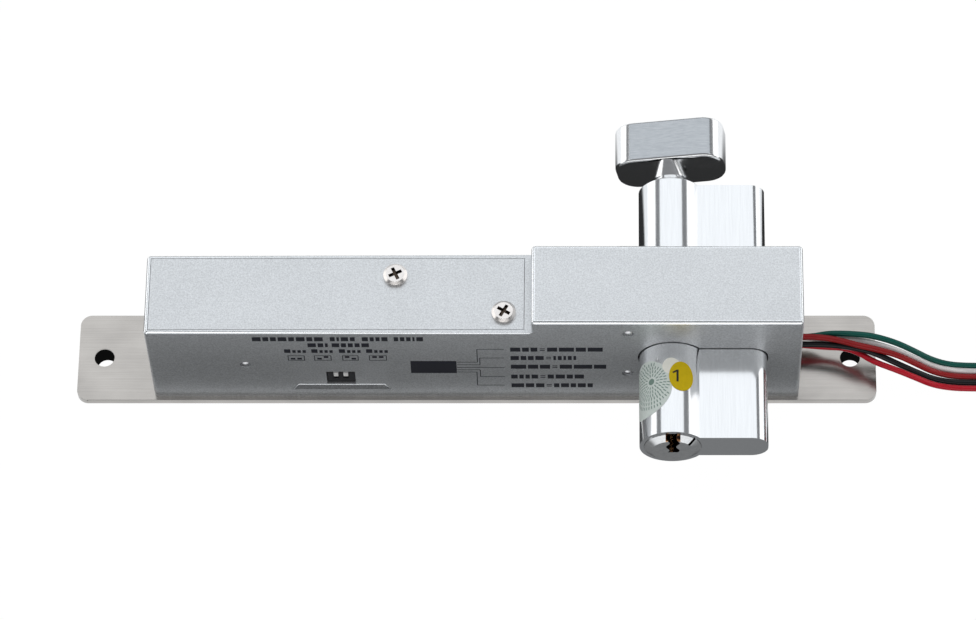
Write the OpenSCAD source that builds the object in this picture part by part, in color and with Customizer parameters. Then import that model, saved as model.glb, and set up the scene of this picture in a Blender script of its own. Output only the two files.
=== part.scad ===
// Electric bolt lock with a profile cylinder and a thumb knob.
// X runs along the faceplate, -Y is the key side, +Z points into the door frame.
// The origin is midway between the mounting holes, on the front of the faceplate.

/* [Faceplate] */
// Length of the faceplate
plate_l = 210; // [206:1:240]
// Width of the faceplate
plate_w = 25; // [24:0.5:32]
// Thickness of the faceplate
plate_t = 2; // [1.5:0.1:3]
// Corner radius of the faceplate
plate_corner = 3; // [0.5:0.5:6]
// Distance from a mounting hole to the end of the faceplate
mount_inset = 6.75; // [5:0.25:10]
// Diameter of a mounting hole
mount_hole_d = 5.3; // [4:0.1:6]
// Diameter of a mounting hole's countersink
mount_sink_d = 8.4; // [7:0.1:10]

/* [Housing] */
// Length of the cast housing
house_l = 169; // [166:1:180]
// Depth of the cast housing across the faceplate
house_w = 22.8; // [22:0.2:24]
// Height of the low block, plate included
low_h = 37.6; // [36.5:0.1:40]
// Height of the cylinder block, plate included
high_h = 43; // [42:0.5:50]
// Where the cylinder block begins along X
step_x = 14.8; // [14:0.2:18]
// Thickness of the housing's walls
wall = 1.8; // [1.4:0.1:2]
// Rounding of the housing's upright edges
house_corner = 1; // [0.4:0.2:2]
// Width of the rim round the lid
rim = 1; // [0.6:0.1:1.4]
// Thickness of the lid
lid_t = 1.5; // [1:0.1:2]

/* [Cylinder] */
// Where the cylinder's axis lies along X
cyl_x = 51; // [50:0.5:53]
// Height of the cylinder's axis
cyl_z = 24; // [23:0.5:26]
// Length of each half of the cylinder
cyl_half = 37; // [30:1:60]
// Diameter of the barrel
barrel_d = 17; // [16.5:0.1:17.5]
// Thickness of the leg
leg_t = 10; // [9:0.1:10.5]
// Reach of the leg from the axis
leg_reach = 24.5; // [23:0.1:25.5]
// Diameter of the key plug and of the thumb shaft
plug_d = 13; // [12:0.1:14]
// Reach of the cam from the axis
cam_reach = 15; // [13.5:0.1:15.2]
// Width of the cam's nose
cam_w = 9; // [6:0.5:9]
// Gap between the two halves of the barrel
cam_gap = 10; // [8:0.1:10.5]

/* [Thumb knob] */
// Length of the knob
knob_l = 28.8; // [24:0.2:36]
// Height of the knob's outline
knob_h = 14.6; // [12:0.2:18]
// Thickness of the knob along the axis
knob_t = 12; // [8:0.5:16]
// Free neck between barrel and knob
neck_l = 6.8; // [5:0.2:12]
// Tilt of the knob in degrees
knob_tilt = 10; // [0:1:30]

/* [Bolt] */
// Where the bolt's axis lies along X
bolt_x = 27; // [26:0.5:28]
// Diameter of the bolt
bolt_d = 12; // [10:0.5:12.5]
// Length of the bolt
bolt_l = 28.6; // [28:0.1:29]
// Travel of the bolt
throw = 14; // [10:0.5:14.5]

/* [Solenoid] */
// Height of the plunger's axis
plunger_z = 25.5; // [25:0.1:26]
// Outer diameter of the coil
coil_d = 17.2; // [14:0.1:17.4]
// Where the solenoid's rear plate begins along X
coil_x0 = -26; // [-27:0.5:-25]
// Length of the solenoid over its end plates
coil_l = 30.5; // [30:0.5:31]
// Diameter of the plunger
armature_d = 8.2; // [6:0.1:8.6]

/* [Hidden] */
$fn = 64;
eps = 0.01;
big = 400;

// Clearances
running_gap = 0.08;
screw_gap = 0.15;
face_gap = 0.1;

// Faceplate
mount_span = plate_l - 2 * mount_inset;

// Housing
house_x = house_l / 2;
house_y = house_w / 2;
inner_y = house_y - wall;
end_wall = 2;
roof_t = 2;
inner_x = house_x - end_wall;
lid_z = low_h - lid_t;
lid_x0 = -house_x + rim;
lid_x1 = step_x - wall;
block_in_x = step_x + wall;
roof_z = high_h - roof_t;
end_block_x = cyl_x + leg_reach + 0.7;
block_t = 6;
loom_roof_t = 3;
cylinder_bay_x = end_block_x - block_t;
loom_bay_z = cyl_z - leg_t / 2 - loom_roof_t;
lid_ledge = 1;

// Screws that hold the housing to the faceplate
plate_screw_d = 3;
plate_screw_head = 5.6;
plate_screw_l = 12;
screw_sink = 0.1;
boss_d = 5;
boss_h = 14;
boss_root = 0.6;
plate_screw_x = inner_x - boss_d / 2 + boss_root;
plate_screw_y = inner_y - boss_d / 2 + boss_root;

// Screws that hold the lid and the solenoid
lid_screw_at = [[-20.3, 5.2], [7.7, -5.6]];
lid_screw_d = 3;
lid_screw_head = 6.2;
lid_screw_head_t = 1.5;
lid_screw_rim_t = 0.9;
lid_screw_dome = 0.7;
cross_w = 0.9;
cross_l = 3.6;
cross_deep = 0.9;
lid_screw_turn = [25, 60];

// Recess and window of the delay switch
recess_x0 = -47.8;
recess_x1 = -22.4;
recess_z0 = 6.1;
recess_z1 = 21.2;
recess_bevel = 1.45;
recess_deep = 0.7;
window_x0 = -38.9;
window_x1 = -31.4;
window_z0 = 7.8;
window_z1 = 14.7;

// Pins seen in the front wall
pin_d = 3;
pin_proud = 0.2;
board_pin_at = [-59.5, 19.9];
sensor_x = 39.6;
sensor_pin_low = 15.15;
sensor_pin_drop = 6;
sensor_pin_at = [[sensor_x, high_h - sensor_pin_drop], [sensor_x, sensor_pin_low]];

// Wire outlet in the end wall
outlet_y = 2.2;
outlet_z = 8.5;
outlet_d = 7;
grommet_in = 0.9;

// Cylinder
barrel_r = barrel_d / 2;
cutout_gap = 0.35;
leg_corner = leg_t / 2 - 0.6;
bridge_x = cam_reach + 1;
cyl_screw_d = 5;
cyl_screw_at = (bridge_x + leg_reach) / 2;
cyl_screw_head = 8.4;
flange_r = plug_d / 2 + 0.8;
flange_t = 0.2;
flange_seat = 0.6;
face_r = 5.5;
face_deep = 1.1;
keyway_w = 2.6;
keyway_h = 8.2;
keyway_low = -0.7;
keyway_wave = 0.45;
keyway_waves = 2;
keyway_deep = 26;
notch_w = 0.8;
notch_turn = 41;
notch_deep = 0.2;
pin_count = 5;
pin_first = 6;
pin_pitch = 4;
tumbler_d = 2.9;
tumbler_end = leg_reach - 1.5;
driver_x = plug_d / 2 + face_gap;
driver_l = 5.9;
key_pin_gap = 0.4;
key_pin_end = sqrt(pow(plug_d / 2, 2) - pow(tumbler_d / 2, 2)) - face_gap / 2;
clip_t = 0.8;
clip_gap_y = 0.9;
clip_deep = 0.9;
clip_open = 4;
plug_end = cam_gap / 2 + 0.2;
clutch_r = 3.6;
cam_side_gap = 0.3;

// Thumb knob and its neck
knob_corner = 5.5;
collar_r = 5.1;
collar_l = 2.4;
neck_wide = 8;
neck_high = 14.2;
knob_y = cyl_half + neck_l;
socket_deep = 6;
socket_r = 2.6;

// Bolt, its lifter and its guide
bolt_z = 0.3;
bolt_top = bolt_z + bolt_l;
lifter_t = 3;
lifter_gap = 0.5;
lifter_tip = cyl_x - barrel_r - lifter_gap;
lifter_w = 7;
lifter_screw_d = 3;
lifter_screw_l = 5.5;
lifter_screw_head = 5.6;
lifter_screw_head_t = 1.8;
bolt_chamfer = 1;
drive_pin_wall = 2;
drive_pin_d = 3;
bush_wall = 1.1;
bush_h = 3.2;
bush_flange_r = 7.5;
bush_flange_t = 0.8;

// Crank between the solenoid and the bolt
crank_x = 14;
drive_pin_up = 20.7;
crank_z = bolt_z + drive_pin_up - throw / 2;
drive_pin_z = crank_z + throw / 2;
crank_pin_d = 3;
crank_pin_seat = 0.9;
crank_t = 1.5;
crank_y = -8.9;
crank_hub_r = 3.2;
crank_reach = bolt_x - crank_x;
crank_swing = atan(throw / 2 / crank_reach);
crank_lift = plunger_z - crank_z;
plunger_throw = 2 * crank_lift * tan(crank_swing);
slot_play = 0.35;
arm_half = 3.3;
pin_out = 0.3;
crank_hub_l = 6;
arm_play = 0.5;

// Solenoid
yoke_t = 1.6;
yoke_w = 14;
yoke_top_z = lid_z - face_gap;
yoke_ear_r = 3.4;
yoke_tab_x = 11;
bobbin_t = 1;
bobbin_wall = 0.8;
bore_gap = 0.15;
coil_below_flange = 0.3;
coil_x1 = coil_x0 + coil_l;
armature_l = 16;
armature_back = 1;
armature_x = coil_x0 + yoke_t + bobbin_t + armature_back;
rod_d = 3;
plunger_pin_x = crank_x - plunger_throw / 2;
plunger_pin_d = 2.5;
eye_r = 2.7;
eye_w = 6;
tail_l = 22;
tail_x = coil_x0 - tail_l;
tail_clip_x = tail_x + 2;
tail_clip_d = 6.8;
spring_d = 6;
spring_wire = 0.6;
spring_turns = 7;

// Boards and switch
board_t = 1.2;
board_y = -7.4;
board_x0 = -73;
board_x1 = -27.5;
board_z0 = 4;
board_z1 = 34;
board_back = board_y + board_t;
relay_at = [-72, 8];
relay_size = [10, 10, 15];
capacitor_at = [-52, 12];
capacitor_d = 8;
capacitor_l = 8;
chip_at = [-47, 6];
chip_size = [10, 1.7, 6];
pin_through = 0.6;
pin_collar_d = 5.4;
sensor_board_w = 5.4;
sensor_board_over = 3;
sensor_size = [4.6, 2.4, 4.5];
sensor_z = bolt_top + face_gap;
dip_gap = 0.2;
dip_sunk = 0.5;
dip_w = window_x1 - window_x0 - 2 * dip_gap;
dip_h = window_z1 - window_z0 - 2 * dip_gap;
dip_face_y = -house_y + recess_deep + dip_sunk;
dip_cx = (window_x0 + window_x1) / 2;
dip_cz = (window_z0 + window_z1) / 2;
slot_up = 0.7;
slider_w = 1.2;
slider_h = 1.9;
slider_travel = 1.6;
slider_pitch = 2.55;
slider_out = 0.35;
slider_in = 0.9;
slider_well = 1;
slider_slot = slider_h + slider_travel;

// Wires: points along each wire's centre, from the grommet to the coil
wire_d = 1.6;
wire_sides = 8;
green_route = [[84.5, 2.8, 8.4], [88, 2.8, 8.6], [92, 3, 9.8], [96, 2.5, 10.9], [100, 1.9, 11.6],
  [104, 1.4, 11.6], [110, 0.3, 10], [115, -0.6, 6.8], [119.5, -1.3, 3.4], [124, -1.7, 1.4],
  [129, -1.8, 0.8], [137, -1.8, 0.8]];
white_route = [[84.5, 3.6, 6.7], [88, 3.5, 6.7], [92, 1.8, 7.7], [96, 1.9, 9], [100, 1.1, 9.8],
  [104, 0, 10.2], [110, -1.6, 9.4], [115, -2.6, 6.5], [119.5, -3.2, 3.3], [124, -3.4, 1.4],
  [129, -3.5, 0.8], [138, -3.5, 0.8]];
orange_route = [[84.5, 1.9, 10.2], [88, 1.8, 10.4], [92, 1.2, 10.8], [96, 0.1, 11.2], [100, -1.5, 11.8],
  [104, -2.3, 11.6], [110, -3.7, 10.8], [115, -4.6, 7.6], [119.5, -5, 3.8], [124, -5.2, 1.6],
  [129, -5.2, 0.8], [139, -5.2, 0.8]];
black_route = [[84.5, 0.6, 8.4], [88, 0.5, 8.6], [92, 0.2, 9], [96, -0.4, 9.4], [100, -1.5, 10],
  [104, -2.5, 9.8], [110, -5.4, 9.2], [115, -6.3, 6.2], [119.5, -6.8, 3.2], [124, -6.9, 1.4],
  [129, -6.9, 0.8], [142, -6.9, 0.8]];
red_route = [[84.5, 1.4, 6.7], [88, 1.3, 6.2], [92, 1.1, 5.9], [96, 0.5, 6.8], [100, -1.2, 7.6],
  [104, -4.6, 8.6], [110, -7.4, 9.2], [115, -8.3, 6.6], [119.5, -8.6, 3.2], [124, -8.6, 1.4],
  [129, -8.6, 0.8], [145, -8.6, 0.8]];
ring_x = 150;
ring_y = 8;
ring_in = 8.9;
ring_out = 17.5;
ring_h = 5.4;
tie_w = 3;
tie_t = 0.5;
loom_y = 8.6;
loom_x0 = -30;
loom_x1 = 66;
loom_end = inner_x - grommet_in;
loom_run = 3;
loom_z = [3.6, 5.4, 7.2, 9.0, 10.8];
loom_ends = [red_route[0], white_route[0], black_route[0], green_route[0], orange_route[0]];

STEEL = [0.69, 0.67, 0.64];
PAINT = [0.72, 0.74, 0.77];
NICKEL = [0.80, 0.80, 0.81];
BRASS = [0.80, 0.64, 0.32];
DARK = [0.16, 0.16, 0.17];
BOARD = [0.10, 0.35, 0.20];

// A flat outline with round corners, its middle at the origin
module round_rect(length, width, radius) {
  square([length - 2 * radius, width], center = true);
  square([length, width - 2 * radius], center = true);
  for (side_x = [-1, 1], side_y = [-1, 1])
    translate([side_x * (length / 2 - radius), side_y * (width / 2 - radius)]) circle(radius);
}

// A box between two corners
module span(from, to) {
  translate(from) cube(to - from);
}

// A cylinder along Y that starts at y0
module y_rod(y0, y1, radius) {
  translate([0, y1, 0]) rotate([90, 0, 0]) cylinder(h = y1 - y0, r = radius);
}

// A cylinder along X that starts at x0
module x_rod(x0, x1, radius) {
  translate([x0, 0, 0]) rotate([0, 90, 0]) cylinder(h = x1 - x0, r = radius);
}

// A cone along Y, its first radius at y0
module y_cone(y0, y1, radius_0, radius_1) {
  translate([0, y1, 0]) rotate([90, 0, 0]) cylinder(h = y1 - y0, r1 = radius_1, r2 = radius_0);
}

// The profile of the cylinder, grown by a gap, with the leg toward +X
module profile(gap) {
  circle(barrel_r + gap);
  corner = leg_corner + gap;
  half = leg_t / 2 + gap;
  end = leg_reach + gap;
  translate([0, -half]) square([end - corner, 2 * half]);
  translate([end - 2 * corner, -half + corner]) square([2 * corner, 2 * half - 2 * corner]);
  for (side = [-1, 1])
    translate([end - corner, side * (half - corner)]) circle(corner);
}

// The profile extruded along Y between two places
module profile_block(y0, y1, gap = 0) {
  translate([cyl_x, y1, cyl_z]) rotate([90, 0, 0]) linear_extrude(y1 - y0) profile(gap);
}

// A countersunk screw along Z, its head's face at z = 0
module sunk_screw(length, thread_d, head_d) {
  head_t = (head_d - thread_d) / 2;
  difference() {
    union() {
      cylinder(h = head_t, r1 = head_d / 2, r2 = thread_d / 2);
      cylinder(h = length, r = thread_d / 2);
    }
    cross_cut(-eps, cross_deep);
  }
}

// The cross recess of a screw's head between two heights
module cross_cut(z0, z1) {
  for (turn = [0, 90])
    rotate([0, 0, turn]) translate([-cross_l / 2, -cross_w / 2, z0]) cube([cross_l, cross_w, z1 - z0]);
}

module faceplate() {
  color(STEEL)
  difference() {
    linear_extrude(plate_t) round_rect(plate_l, plate_w, plate_corner);
    for (side = [-1, 1])
      translate([side * mount_span / 2, 0, 0]) {
        translate([0, 0, -1]) cylinder(h = plate_t + 2, r = mount_hole_d / 2);
        translate([0, 0, -eps])
          cylinder(h = (mount_sink_d - mount_hole_d) / 2, r1 = mount_sink_d / 2, r2 = mount_hole_d / 2);
      }
    translate([bolt_x, 0, -1]) cylinder(h = plate_t + 2, r = bolt_d / 2 + running_gap);
    for (at = plate_screw_places()) translate(at) sunk_hole(plate_screw_d, plate_screw_head);
    translate([cyl_x + cyl_screw_at, 0, 0]) sunk_hole(cyl_screw_d, cyl_screw_head);
  }
}

// A countersunk hole through the faceplate
module sunk_hole(thread_d, head_d) {
  gap = face_gap;
  translate([0, 0, -1]) cylinder(h = plate_t + 2, r = thread_d / 2 + gap);
  translate([0, 0, -eps])
    cylinder(h = (head_d - thread_d) / 2 + gap, r1 = head_d / 2 + 2 * gap, r2 = thread_d / 2 + gap);
}

function plate_screw_places() =
  [for (side_x = [-1, 1], side_y = [-1, 1]) [side_x * plate_screw_x, side_y * plate_screw_y, 0]];

module housing() {
  pin_hole_end = inner_y + crank_pin_seat + face_gap;
  color(PAINT)
  difference() {
    union() {
      housing_shell();
      for (at = plate_screw_places()) translate([at.x, at.y, plate_t]) cylinder(h = boss_h, r = boss_d / 2);
    }
    for (at = plate_screw_places())
      translate([at.x, at.y, plate_t - 1]) cylinder(h = plate_screw_l, r = plate_screw_d / 2);
    profile_block(-big, big, cutout_gap);
    switch_recess();
    translate([0, outlet_y, outlet_z]) x_rod(loom_end - face_gap, house_x + 1, outlet_d / 2);
    translate([board_pin_at.x, 0, board_pin_at.y]) y_rod(-big, 0, pin_d / 2);
    for (at = sensor_pin_at) translate([at.x, 0, at.y]) y_rod(-big, 0, pin_d / 2);
    translate([crank_x, 0, crank_z]) y_rod(-pin_hole_end, pin_hole_end, crank_pin_d / 2);
    translate([cyl_x + cyl_screw_at, 0, plate_t - 1])
      cylinder(h = cyl_z - leg_t / 2, r = cyl_screw_d / 2 + screw_gap);
  }
}

// The cast shell: two blocks, open below, with a seat for the lid
module housing_shell() {
  difference() {
    union() {
      translate([0, 0, plate_t]) linear_extrude(low_h - plate_t) round_rect(house_l, house_w, house_corner);
      translate([(step_x + house_x) / 2, 0, plate_t])
        linear_extrude(high_h - plate_t) round_rect(house_x - step_x, house_w, house_corner);
    }
    span([-inner_x, -inner_y, 0], [cylinder_bay_x, inner_y, lid_z - lid_ledge]);
    span([-inner_x, -inner_y, 0], [lid_x1, inner_y, big]);
    span([block_in_x, -inner_y, 0], [cylinder_bay_x, inner_y, roof_z]);
    span([lid_x0, -house_y + rim, lid_z], [lid_x1, house_y - rim, big]);
    span([cylinder_bay_x - 1, -inner_y, 0], [inner_x, inner_y, loom_bay_z]);
  }
}

// The bevelled recess in the front wall and the window in its floor
module switch_recess() {
  hull() {
    span([recess_x0, -house_y - eps, recess_z0], [recess_x1, -house_y, recess_z1]);
    span([recess_x0 + recess_bevel, -house_y, recess_z0 + recess_bevel],
      [recess_x1 - recess_bevel, -house_y + recess_deep, recess_z1 - recess_bevel]);
  }
  span([window_x0, -house_y - 1, window_z0], [window_x1, -inner_y + 1, window_z1]);
}

module lid() {
  color(PAINT)
  difference() {
    span([lid_x0 + face_gap, -house_y + rim + face_gap, lid_z],
      [lid_x1 - face_gap, house_y - rim - face_gap, low_h]);
    for (at = lid_screw_at)
      translate([at.x, at.y, lid_z - 1]) cylinder(h = lid_t + 2, r = lid_screw_d / 2 + screw_gap);
  }
}

module lid_screws() {
  color(NICKEL)
  for (i = [0, 1])
    translate([lid_screw_at[i].x, lid_screw_at[i].y, low_h])
      difference() {
        union() {
          cylinder(h = lid_screw_rim_t, r = lid_screw_head / 2);
          translate([0, 0, lid_screw_rim_t])
            cylinder(h = lid_screw_head_t - lid_screw_rim_t,
              r1 = lid_screw_head / 2, r2 = lid_screw_head / 2 - lid_screw_dome);
          translate([0, 0, yoke_top_z - yoke_t - low_h])
            cylinder(h = low_h - yoke_top_z + yoke_t + eps, r = lid_screw_d / 2);
        }
        rotate([0, 0, lid_screw_turn[i]]) cross_cut(lid_screw_head_t - cross_deep, lid_screw_head_t + 1);
      }
}

module plate_screws() {
  color(NICKEL)
  for (at = plate_screw_places())
    translate([at.x, at.y, screw_sink]) sunk_screw(plate_screw_l - 1, plate_screw_d, plate_screw_head);
}

module cylinder_body() {
  color(NICKEL)
  difference() {
    profile_block(-cyl_half, cyl_half);
    span([cyl_x - barrel_d, -cam_gap / 2, 0], [cyl_x + bridge_x, cam_gap / 2, big]);
    translate([cyl_x, 0, cyl_z]) {
      y_rod(-cyl_half - 1, cyl_half + 1, plug_d / 2 + running_gap / 2);
      y_rod(-cyl_half - 1, -cyl_half + flange_seat + face_gap, flange_r + running_gap);
      for (i = [0:pin_count - 1])
        translate([0, -cyl_half + pin_first + i * pin_pitch, 0])
          x_rod(0, tumbler_end, tumbler_d / 2 + running_gap / 2);
    }
    translate([cyl_x + cyl_screw_at, 0, 0]) cylinder(h = big, r = cyl_screw_d / 2);
  }
}

module cylinder_screw() {
  color(NICKEL)
  translate([cyl_x + cyl_screw_at, 0, screw_sink])
    sunk_screw(cyl_z + leg_t / 2 - 1, cyl_screw_d, cyl_screw_head);
}

// The wavy outline of the keyway, upright and open through the plug's upper edge
module keyway_outline() {
  steps = 24;
  function wave(t) = keyway_wave * sin(t * keyway_waves * 360);
  left = [for (i = [0:steps]) [wave(i / steps) - keyway_w / 2, keyway_low + keyway_h * i / steps]];
  right = [for (i = [steps:-1:0]) [wave(i / steps) + keyway_w / 2, keyway_low + keyway_h * i / steps]];
  polygon(concat(left, right));
}

module key_plug() {
  color(NICKEL)
  translate([cyl_x, 0, cyl_z])
    difference() {
      union() {
        y_rod(-cyl_half, -plug_end, plug_d / 2);
        y_rod(-cyl_half - flange_t, -cyl_half + flange_seat, flange_r);
        y_cone(-cyl_half - flange_t - face_deep, -cyl_half - flange_t, face_r, flange_r);
      }
      translate([0, -cyl_half + keyway_deep, 0]) rotate([90, 0, 0])
        linear_extrude(keyway_deep + flange_t + face_deep + 1) keyway_outline();
      rotate([0, -notch_turn, 0])
        span([face_r - notch_deep, -cyl_half - flange_t - face_deep - 1, -notch_w / 2],
          [flange_r + 1, -cyl_half - flange_t, notch_w / 2]);
      for (i = [0:pin_count - 1])
        translate([0, -cyl_half + pin_first + i * pin_pitch, 0])
          x_rod(0, plug_d, tumbler_d / 2 + running_gap / 2);
      clip_groove(-plug_end - clip_gap_y - clip_t);
    }
}

// The groove of a retaining clip round a plug, from y0
module clip_groove(y0) {
  difference() {
    y_rod(y0 - 2 * eps, y0 + clip_t + 2 * eps, plug_d);
    y_rod(y0 - 1, y0 + clip_t + 1, plug_d / 2 - clip_deep);
  }
}

// A C-shaped retaining clip in its groove, open toward -Z
module retaining_clip(y0) {
  difference() {
    y_rod(y0, y0 + clip_t, plug_d / 2);
    y_rod(y0 - 1, y0 + clip_t + 1, plug_d / 2 - clip_deep);
    span([-clip_open / 2, y0 - 1, -plug_d], [clip_open / 2, y0 + clip_t + 1, 0]);
  }
}

module plug_clip() {
  color(NICKEL) translate([cyl_x, 0, cyl_z]) retaining_clip(-plug_end - clip_gap_y - clip_t);
}

module shaft_clip() {
  color(NICKEL) translate([cyl_x, 0, cyl_z]) retaining_clip(plug_end + clip_gap_y);
}

module key_pins() {
  color(BRASS)
  for (i = [0:pin_count - 1])
    translate([cyl_x, -cyl_half + pin_first + i * pin_pitch, cyl_z])
      x_rod(keyway_w / 2 + keyway_wave + key_pin_gap, key_pin_end, tumbler_d / 2);
}

module driver_pins() {
  color(NICKEL)
  for (i = [0:pin_count - 1])
    translate([cyl_x, -cyl_half + pin_first + i * pin_pitch, cyl_z])
      x_rod(driver_x, driver_x + driver_l, tumbler_d / 2);
}

module pin_springs() {
  color(STEEL)
  for (i = [0:pin_count - 1])
    translate([cyl_x, -cyl_half + pin_first + i * pin_pitch, cyl_z])
      x_rod(driver_x + driver_l, tumbler_end, tumbler_d / 2 - 2 * face_gap);
}

// The cam, its nose toward -Z and clear of the bolt's lifter
module cam() {
  cam_side = cam_gap / 2 - cam_side_gap;
  color(STEEL)
  translate([cyl_x, 0, cyl_z])
    difference() {
      union() {
        y_rod(-cam_side, cam_side, barrel_r - 2 * face_gap);
        intersection() {
          y_rod(-cam_side, cam_side, cam_reach);
          span([-cam_w / 2, -cam_gap, -big], [cam_w / 2, cam_gap, 0]);
        }
      }
      y_rod(-cam_gap, cam_gap, clutch_r);
    }
}

module clutch() {
  side = cam_gap / 2 - face_gap;
  color(BRASS) translate([cyl_x, 0, cyl_z]) y_rod(-side, side, clutch_r - face_gap / 2);
}

module thumb_shaft() {
  color(NICKEL)
  translate([cyl_x, 0, cyl_z])
    difference() {
      union() {
        y_rod(plug_end, cyl_half, plug_d / 2);
        y_rod(cyl_half, cyl_half + collar_l, collar_r);
        y_rod(cyl_half + collar_l, knob_y + socket_deep, socket_r);
      }
      clip_groove(plug_end + clip_gap_y);
    }
}

// The knob and its neck, cast in one, with the neck blending from the collar's circle into a tall oval
module thumb_knob() {
  color(NICKEL)
  translate([cyl_x, knob_y + knob_t, cyl_z])
    rotate([90, -knob_tilt, 0])
      difference() {
        union() {
          linear_extrude(knob_t) round_rect(knob_l, knob_h, knob_corner);
          knob_neck();
        }
        translate([0, 0, knob_t - socket_deep]) cylinder(h = socket_deep + neck_l, r = socket_r);
      }
}

module knob_neck() {
  hull() {
    translate([0, 0, knob_t - eps])
      linear_extrude(eps) scale([neck_wide / 2, neck_high / 2]) circle(1, $fn = 32);
    translate([0, 0, knob_t + neck_l - collar_l - eps]) cylinder(h = eps, r = collar_r, $fn = 32);
  }
}

module bolt() {
  color(STEEL)
  difference() {
    union() {
      translate([bolt_x, 0, bolt_z + bolt_chamfer]) cylinder(h = bolt_l - bolt_chamfer, r = bolt_d / 2);
      translate([bolt_x, 0, bolt_z])
        cylinder(h = bolt_chamfer, r1 = bolt_d / 2 - bolt_chamfer, r2 = bolt_d / 2);
    }
    translate([bolt_x, 0, drive_pin_z]) y_rod(-bolt_d, bolt_d / 2 - drive_pin_wall, drive_pin_d / 2);
    translate([bolt_x, 0, bolt_top - lifter_screw_l - 0.5]) cylinder(h = bolt_l, r = lifter_screw_d / 2);
  }
}

module drive_pin() {
  color(STEEL)
    translate([bolt_x, 0, drive_pin_z])
      y_rod(crank_y - pin_out, bolt_d / 2 - drive_pin_wall, drive_pin_d / 2);
}

module bolt_lifter() {
  color(STEEL)
  difference() {
    union() {
      translate([bolt_x, 0, bolt_top]) cylinder(h = lifter_t, r = bolt_d / 2);
      span([bolt_x, -lifter_w / 2, bolt_top], [lifter_tip, lifter_w / 2, bolt_top + lifter_t]);
    }
    translate([bolt_x, 0, bolt_top - 1]) cylinder(h = lifter_t + 2, r = lifter_screw_d / 2);
  }
}

module lifter_screw() {
  color(NICKEL)
  translate([bolt_x, 0, bolt_top])
    difference() {
      union() {
        translate([0, 0, -lifter_screw_l])
          cylinder(h = lifter_screw_l + lifter_t + eps, r = lifter_screw_d / 2);
        translate([0, 0, lifter_t]) cylinder(h = lifter_screw_head_t, r = lifter_screw_head / 2);
      }
      cross_cut(lifter_t + lifter_screw_head_t - cross_deep, big);
    }
}

module bolt_bush() {
  color(BRASS)
  translate([bolt_x, 0, plate_t])
    difference() {
      union() {
        cylinder(h = bush_h, r = bolt_d / 2 + bush_wall);
        cylinder(h = bush_flange_t, r = bush_flange_r);
      }
      translate([0, 0, -1]) cylinder(h = bush_h + 2, r = bolt_d / 2 + running_gap);
    }
}

// A slot along +X between two distances, cut through Y
module arm_slot(reach_0, reach_1, half) {
  for (reach = [reach_0, reach_1]) translate([reach, 0, 0]) y_rod(-big, big, half);
  span([reach_0, -big, -half], [reach_1, big, half]);
}

// One arm of the crank along +X, from the pivot to the slot's far end
module crank_arm(far) {
  y_rod(crank_y, crank_y + crank_t, arm_half);
  translate([far, 0, 0]) y_rod(crank_y, crank_y + crank_t, arm_half);
  span([0, crank_y, -arm_half], [far, crank_y + crank_t, arm_half]);
}

module crank() {
  near = crank_reach - arm_play;
  far = crank_reach / cos(crank_swing) + arm_play;
  top_near = crank_lift - arm_play;
  top_far = crank_lift / cos(crank_swing) + arm_play;
  color(STEEL)
  translate([crank_x, 0, crank_z]) rotate([0, -crank_swing, 0])
    difference() {
      union() {
        crank_arm(far);
        rotate([0, -90, 0]) crank_arm(top_far);
        y_rod(crank_y, crank_y + crank_hub_l, crank_hub_r);
      }
      arm_slot(near, far, drive_pin_d / 2 + slot_play);
      rotate([0, -90, 0]) arm_slot(top_near, top_far, plunger_pin_d / 2 + slot_play);
      y_rod(-big, big, crank_pin_d / 2 + running_gap / 2);
    }
}

module crank_pin() {
  end = inner_y + crank_pin_seat;
  color(STEEL) translate([crank_x, 0, crank_z]) y_rod(-end, end, crank_pin_d / 2);
}

module plunger() {
  color(STEEL)
  translate([0, 0, plunger_z])
    difference() {
      union() {
        x_rod(armature_x, armature_x + armature_l, armature_d / 2);
        x_rod(tail_x, plunger_pin_x, rod_d / 2);
        translate([plunger_pin_x, 0, 0]) y_rod(-eye_w / 2, eye_w / 2, eye_r);
      }
      translate([plunger_pin_x, 0, 0]) y_rod(-eye_w, eye_w, plunger_pin_d / 2);
    }
}

module plunger_pin() {
  color(STEEL)
    translate([plunger_pin_x, 0, plunger_z])
      y_rod(crank_y - pin_out, eye_w / 2, plunger_pin_d / 2);
}

module tail_clip() {
  color(NICKEL)
  translate([0, 0, plunger_z])
    difference() {
      x_rod(tail_clip_x, tail_clip_x + clip_t, tail_clip_d / 2);
      x_rod(tail_clip_x - 1, tail_clip_x + 2, rod_d / 2);
    }
}

// Rings that stand for the turns of the spring, each touching the next by a short bridge
module return_spring() {
  spring_x0 = tail_clip_x + clip_t;
  pitch = (coil_x0 - spring_x0 - spring_wire) / spring_turns;
  color(STEEL)
  translate([0, 0, plunger_z])
    union() {
      for (i = [0:spring_turns])
        translate([spring_x0 + spring_wire / 2 + i * pitch, 0, 0]) rotate([0, 90, 0]) rotate_extrude()
          translate([spring_d / 2 - spring_wire / 2, 0]) circle(r = spring_wire / 2, $fn = 16);
      for (i = [0:spring_turns - 1])
        rotate([i % 2 * 180, 0, 0]) translate([0, 0, spring_d / 2 - spring_wire / 2])
          x_rod(spring_x0 + spring_wire / 2 + i * pitch, spring_x0 + spring_wire / 2 + (i + 1) * pitch,
            spring_wire / 2);
    }
}

module bobbin() {
  inner = armature_d / 2 + bore_gap;
  color(DARK)
  translate([0, 0, plunger_z])
    difference() {
      union() {
        x_rod(coil_x0 + yoke_t, coil_x1 - yoke_t, inner + bobbin_wall);
        x_rod(coil_x0 + yoke_t, coil_x0 + yoke_t + bobbin_t, coil_d / 2);
        x_rod(coil_x1 - yoke_t - bobbin_t, coil_x1 - yoke_t, coil_d / 2);
      }
      x_rod(-big, big, inner);
    }
}

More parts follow.
